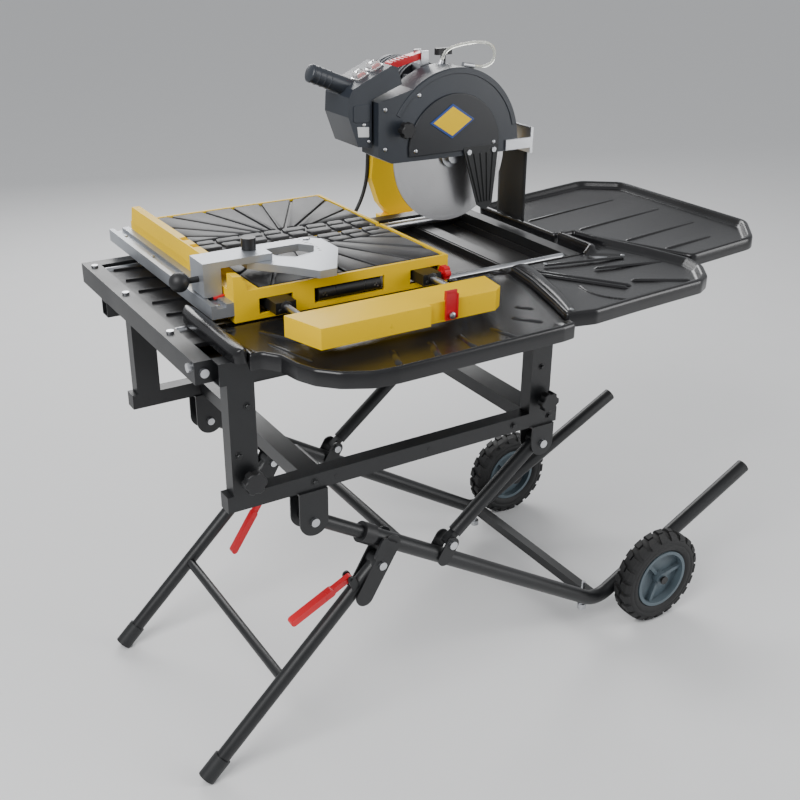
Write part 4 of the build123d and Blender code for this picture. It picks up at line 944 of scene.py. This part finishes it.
def make_housing_details():
    """A blank label plate, a screw and a moulded panel on the control housing."""
    bm = bmesh.new()
    prism(bm, [(-140, 1000), (-118, 998), (-118, 1016), (-142, 1018)], "y", 110.9, 112.2)
    piece("blank_label", bm, "head", "white", bevel=0.2)
    bm = bmesh.new()
    frame_line = [(-150, 1026), (-116, 1024), (-116, 1056), (-150, 1056)]
    prism(bm, rounded(frame_line, 5, steps=4), "y", 110.6, 112.2)
    piece("housing_panel", bm, "head", "charcoal", bevel=0.7)
    round_screws("housing_screws", "head", [(-128, 112, 1020.5), (-118, 112, 990)], -Y, radius=3.2)
    bm = bmesh.new()
    prism(bm, [(-1, 1078.2), (20, 1078.2), (16, 1090), (4, 1090)], "y", 162, 194)
    for i in range(4):
        y = 165 + i * 8
        slab(bm, (96, 142), (y, y + 3), (1078.1, 1081))
    piece("gear_case_ribs", bm, "head", "charcoal", bevel=0.8)


def make_motor_details():
    bm = bmesh.new()
    for i in range(9):
        y = 204 + i * 11
        lathe(bm, [(54.5, 0), (56.2, 0.8), (56.2, 3.2), (54.5, 4)], (45, y, 1055), Y, steps=64, closed=False)
    piece("motor_fins", bm, "head", "motor", smooth=50)
    bm = bmesh.new()
    for i in range(12):
        a = 2 * math.pi * i / 12
        p = Vector((45 + 33 * math.cos(a), 314, 1055 + 33 * math.sin(a)))
        side = Vector((-math.sin(a), 0, math.cos(a))) * 2.2
        out = Vector((math.cos(a), 0, math.sin(a))) * 8
        corners = [p - out - side, p + out - side, p + out + side, p - out + side]
        low = [bm.verts.new(c) for c in corners]
        high = [bm.verts.new(c + Y * 1.2) for c in corners]
        bm.faces.new(high)
        for k in range(4):
            m = (k + 1) % 4
            bm.faces.new((low[k], low[m], high[m], high[k]))
    piece("motor_vents", bm, "head", "black_plastic", bevel=0.4)


def make_switch_covers():
    """Soft clear boots over the two rockers."""
    slope = math.atan2(36, 80)
    for i, (x, body) in enumerate(((-116, "head"), (-86, "head"))):
        z = 1084 + (x + 150) * math.tan(slope)
        bm = bmesh.new()
        shape = rounded([(-13, -14), (13, -14), (13, 14), (-13, 14)], 5, steps=5)
        levels = [(0, 0.2), (0, 2.0), (2.5, 2.4), (3.2, 7.5), (4.6, 10.2), (7.5, 11.4)]
        rings = [[bm.verts.new((p[0], p[1], h)) for p in inset(shape, d)] for d, h in levels]
        for low, high in zip(rings, rings[1:]):
            for k in range(len(low)):
                m = (k + 1) % len(low)
                bm.faces.new((low[k], low[m], high[m], high[k]))
        bm.faces.new(rings[-1])
        bmesh.ops.rotate(bm, verts=bm.verts, cent=(0, 0, 0), matrix=Matrix.Rotation(-slope, 3, "Y"))
        bmesh.ops.translate(bm, verts=bm.verts, vec=(x, 146, z))
        piece(f"switch_boot_{i + 1}", bm, body, "cover", smooth=50)


def make_flaps():
    """Ribbed rubber skirts beside the blade and a slightly curled flap behind it."""
    bm = bmesh.new()
    outline = rounded([(78, 962), (162, 962), (152, 846), (136, 834), (116, 846)], 4, steps=3)
    prism(bm, outline, "y", 93.6, 96.6)
    for i in range(5):
        top, low = 90 + i * 15, 121 + i * 6.5
        prism(bm, [(top - 2.4, 948), (top + 2.4, 948), (low + 1.6, 852), (low - 1.6, 852)], "y", 91.6, 94.2)
    skirt = piece("side_skirt_rubber", bm, "head", "rubber", bevel=0.6)
    bm = bmesh.new()
    rows, columns = 18, 12
    grid = []
    for r in range(rows + 1):
        z = 953 - 163 * r / rows
        line = []
        for c in range(columns + 1):
            y = 112 + 88 * c / columns
            t = r / rows
            curl = 1.2 * math.sin(c / columns * math.pi * 2 + 0.6) * t + 0.8 * t * t
            line.append(bm.verts.new((248.5 + curl, y, z + 1.5 * math.sin(c * 1.3) * t * t)))
        grid.append(line)
    for r in range(rows):
        for c in range(columns):
            bm.faces.new((grid[r][c], grid[r][c + 1], grid[r + 1][c + 1], grid[r + 1][c]))
    flap = piece("rear_flap_rubber", bm, "head", "rubber", smooth=60)
    thick = flap.modifiers.new("wall", "SOLIDIFY")
    thick.thickness = 3.5 * MM
    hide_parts("splash_flaps")
    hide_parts("splash_flaps")


def make_stand_details():
    """Bolt heads on the front posts and on the lower front rail, and thin dark discs of painted shade where the
    rail's open holes are.
    """
    post_spots = [(-548, -231, 620), (-530, -231, 700), (36, -231, 640), (36, -231, 712)]
    rail_spots = [(-420, -231, 538), (-20, -231, 538), (60, -231, 538)]
    hex_bolts("post_bolts_front", "stand", post_spots, -Y, radius=4.5, height=3, look="black_steel")
    hex_bolts("rail_bolts", "stand", rail_spots, -Y, radius=4.5, height=3, look="black_steel")
    # Painted shade: flat black discs on the rail stand in for the dark inside of its open holes.
    bm = bmesh.new()
    for x in (-380, -200):
        lathe(bm, [(4.2, 0), (4.2, 0.35)], (x, -231, 538), -Y, steps=24)
    piece("rail_hole_painted_shade", bm, "stand", "black_plastic")


make_camera()
make_cords()
dress_nodes()
make_floor()
make_lights()
make_tyre("front_tyre_tread", "front_wheel", "wheel_tyre_front", -1)
make_tyre("rear_tyre_tread", "rear_wheel", "wheel_tyre_rear", 1)
make_trays()
make_mats()
make_cart_details()
make_sector_details()
make_guard_details()
make_lever_details()
make_grip_details()
make_housing_details()
make_motor_details()
make_switch_covers()
make_flaps()
make_stand_details()
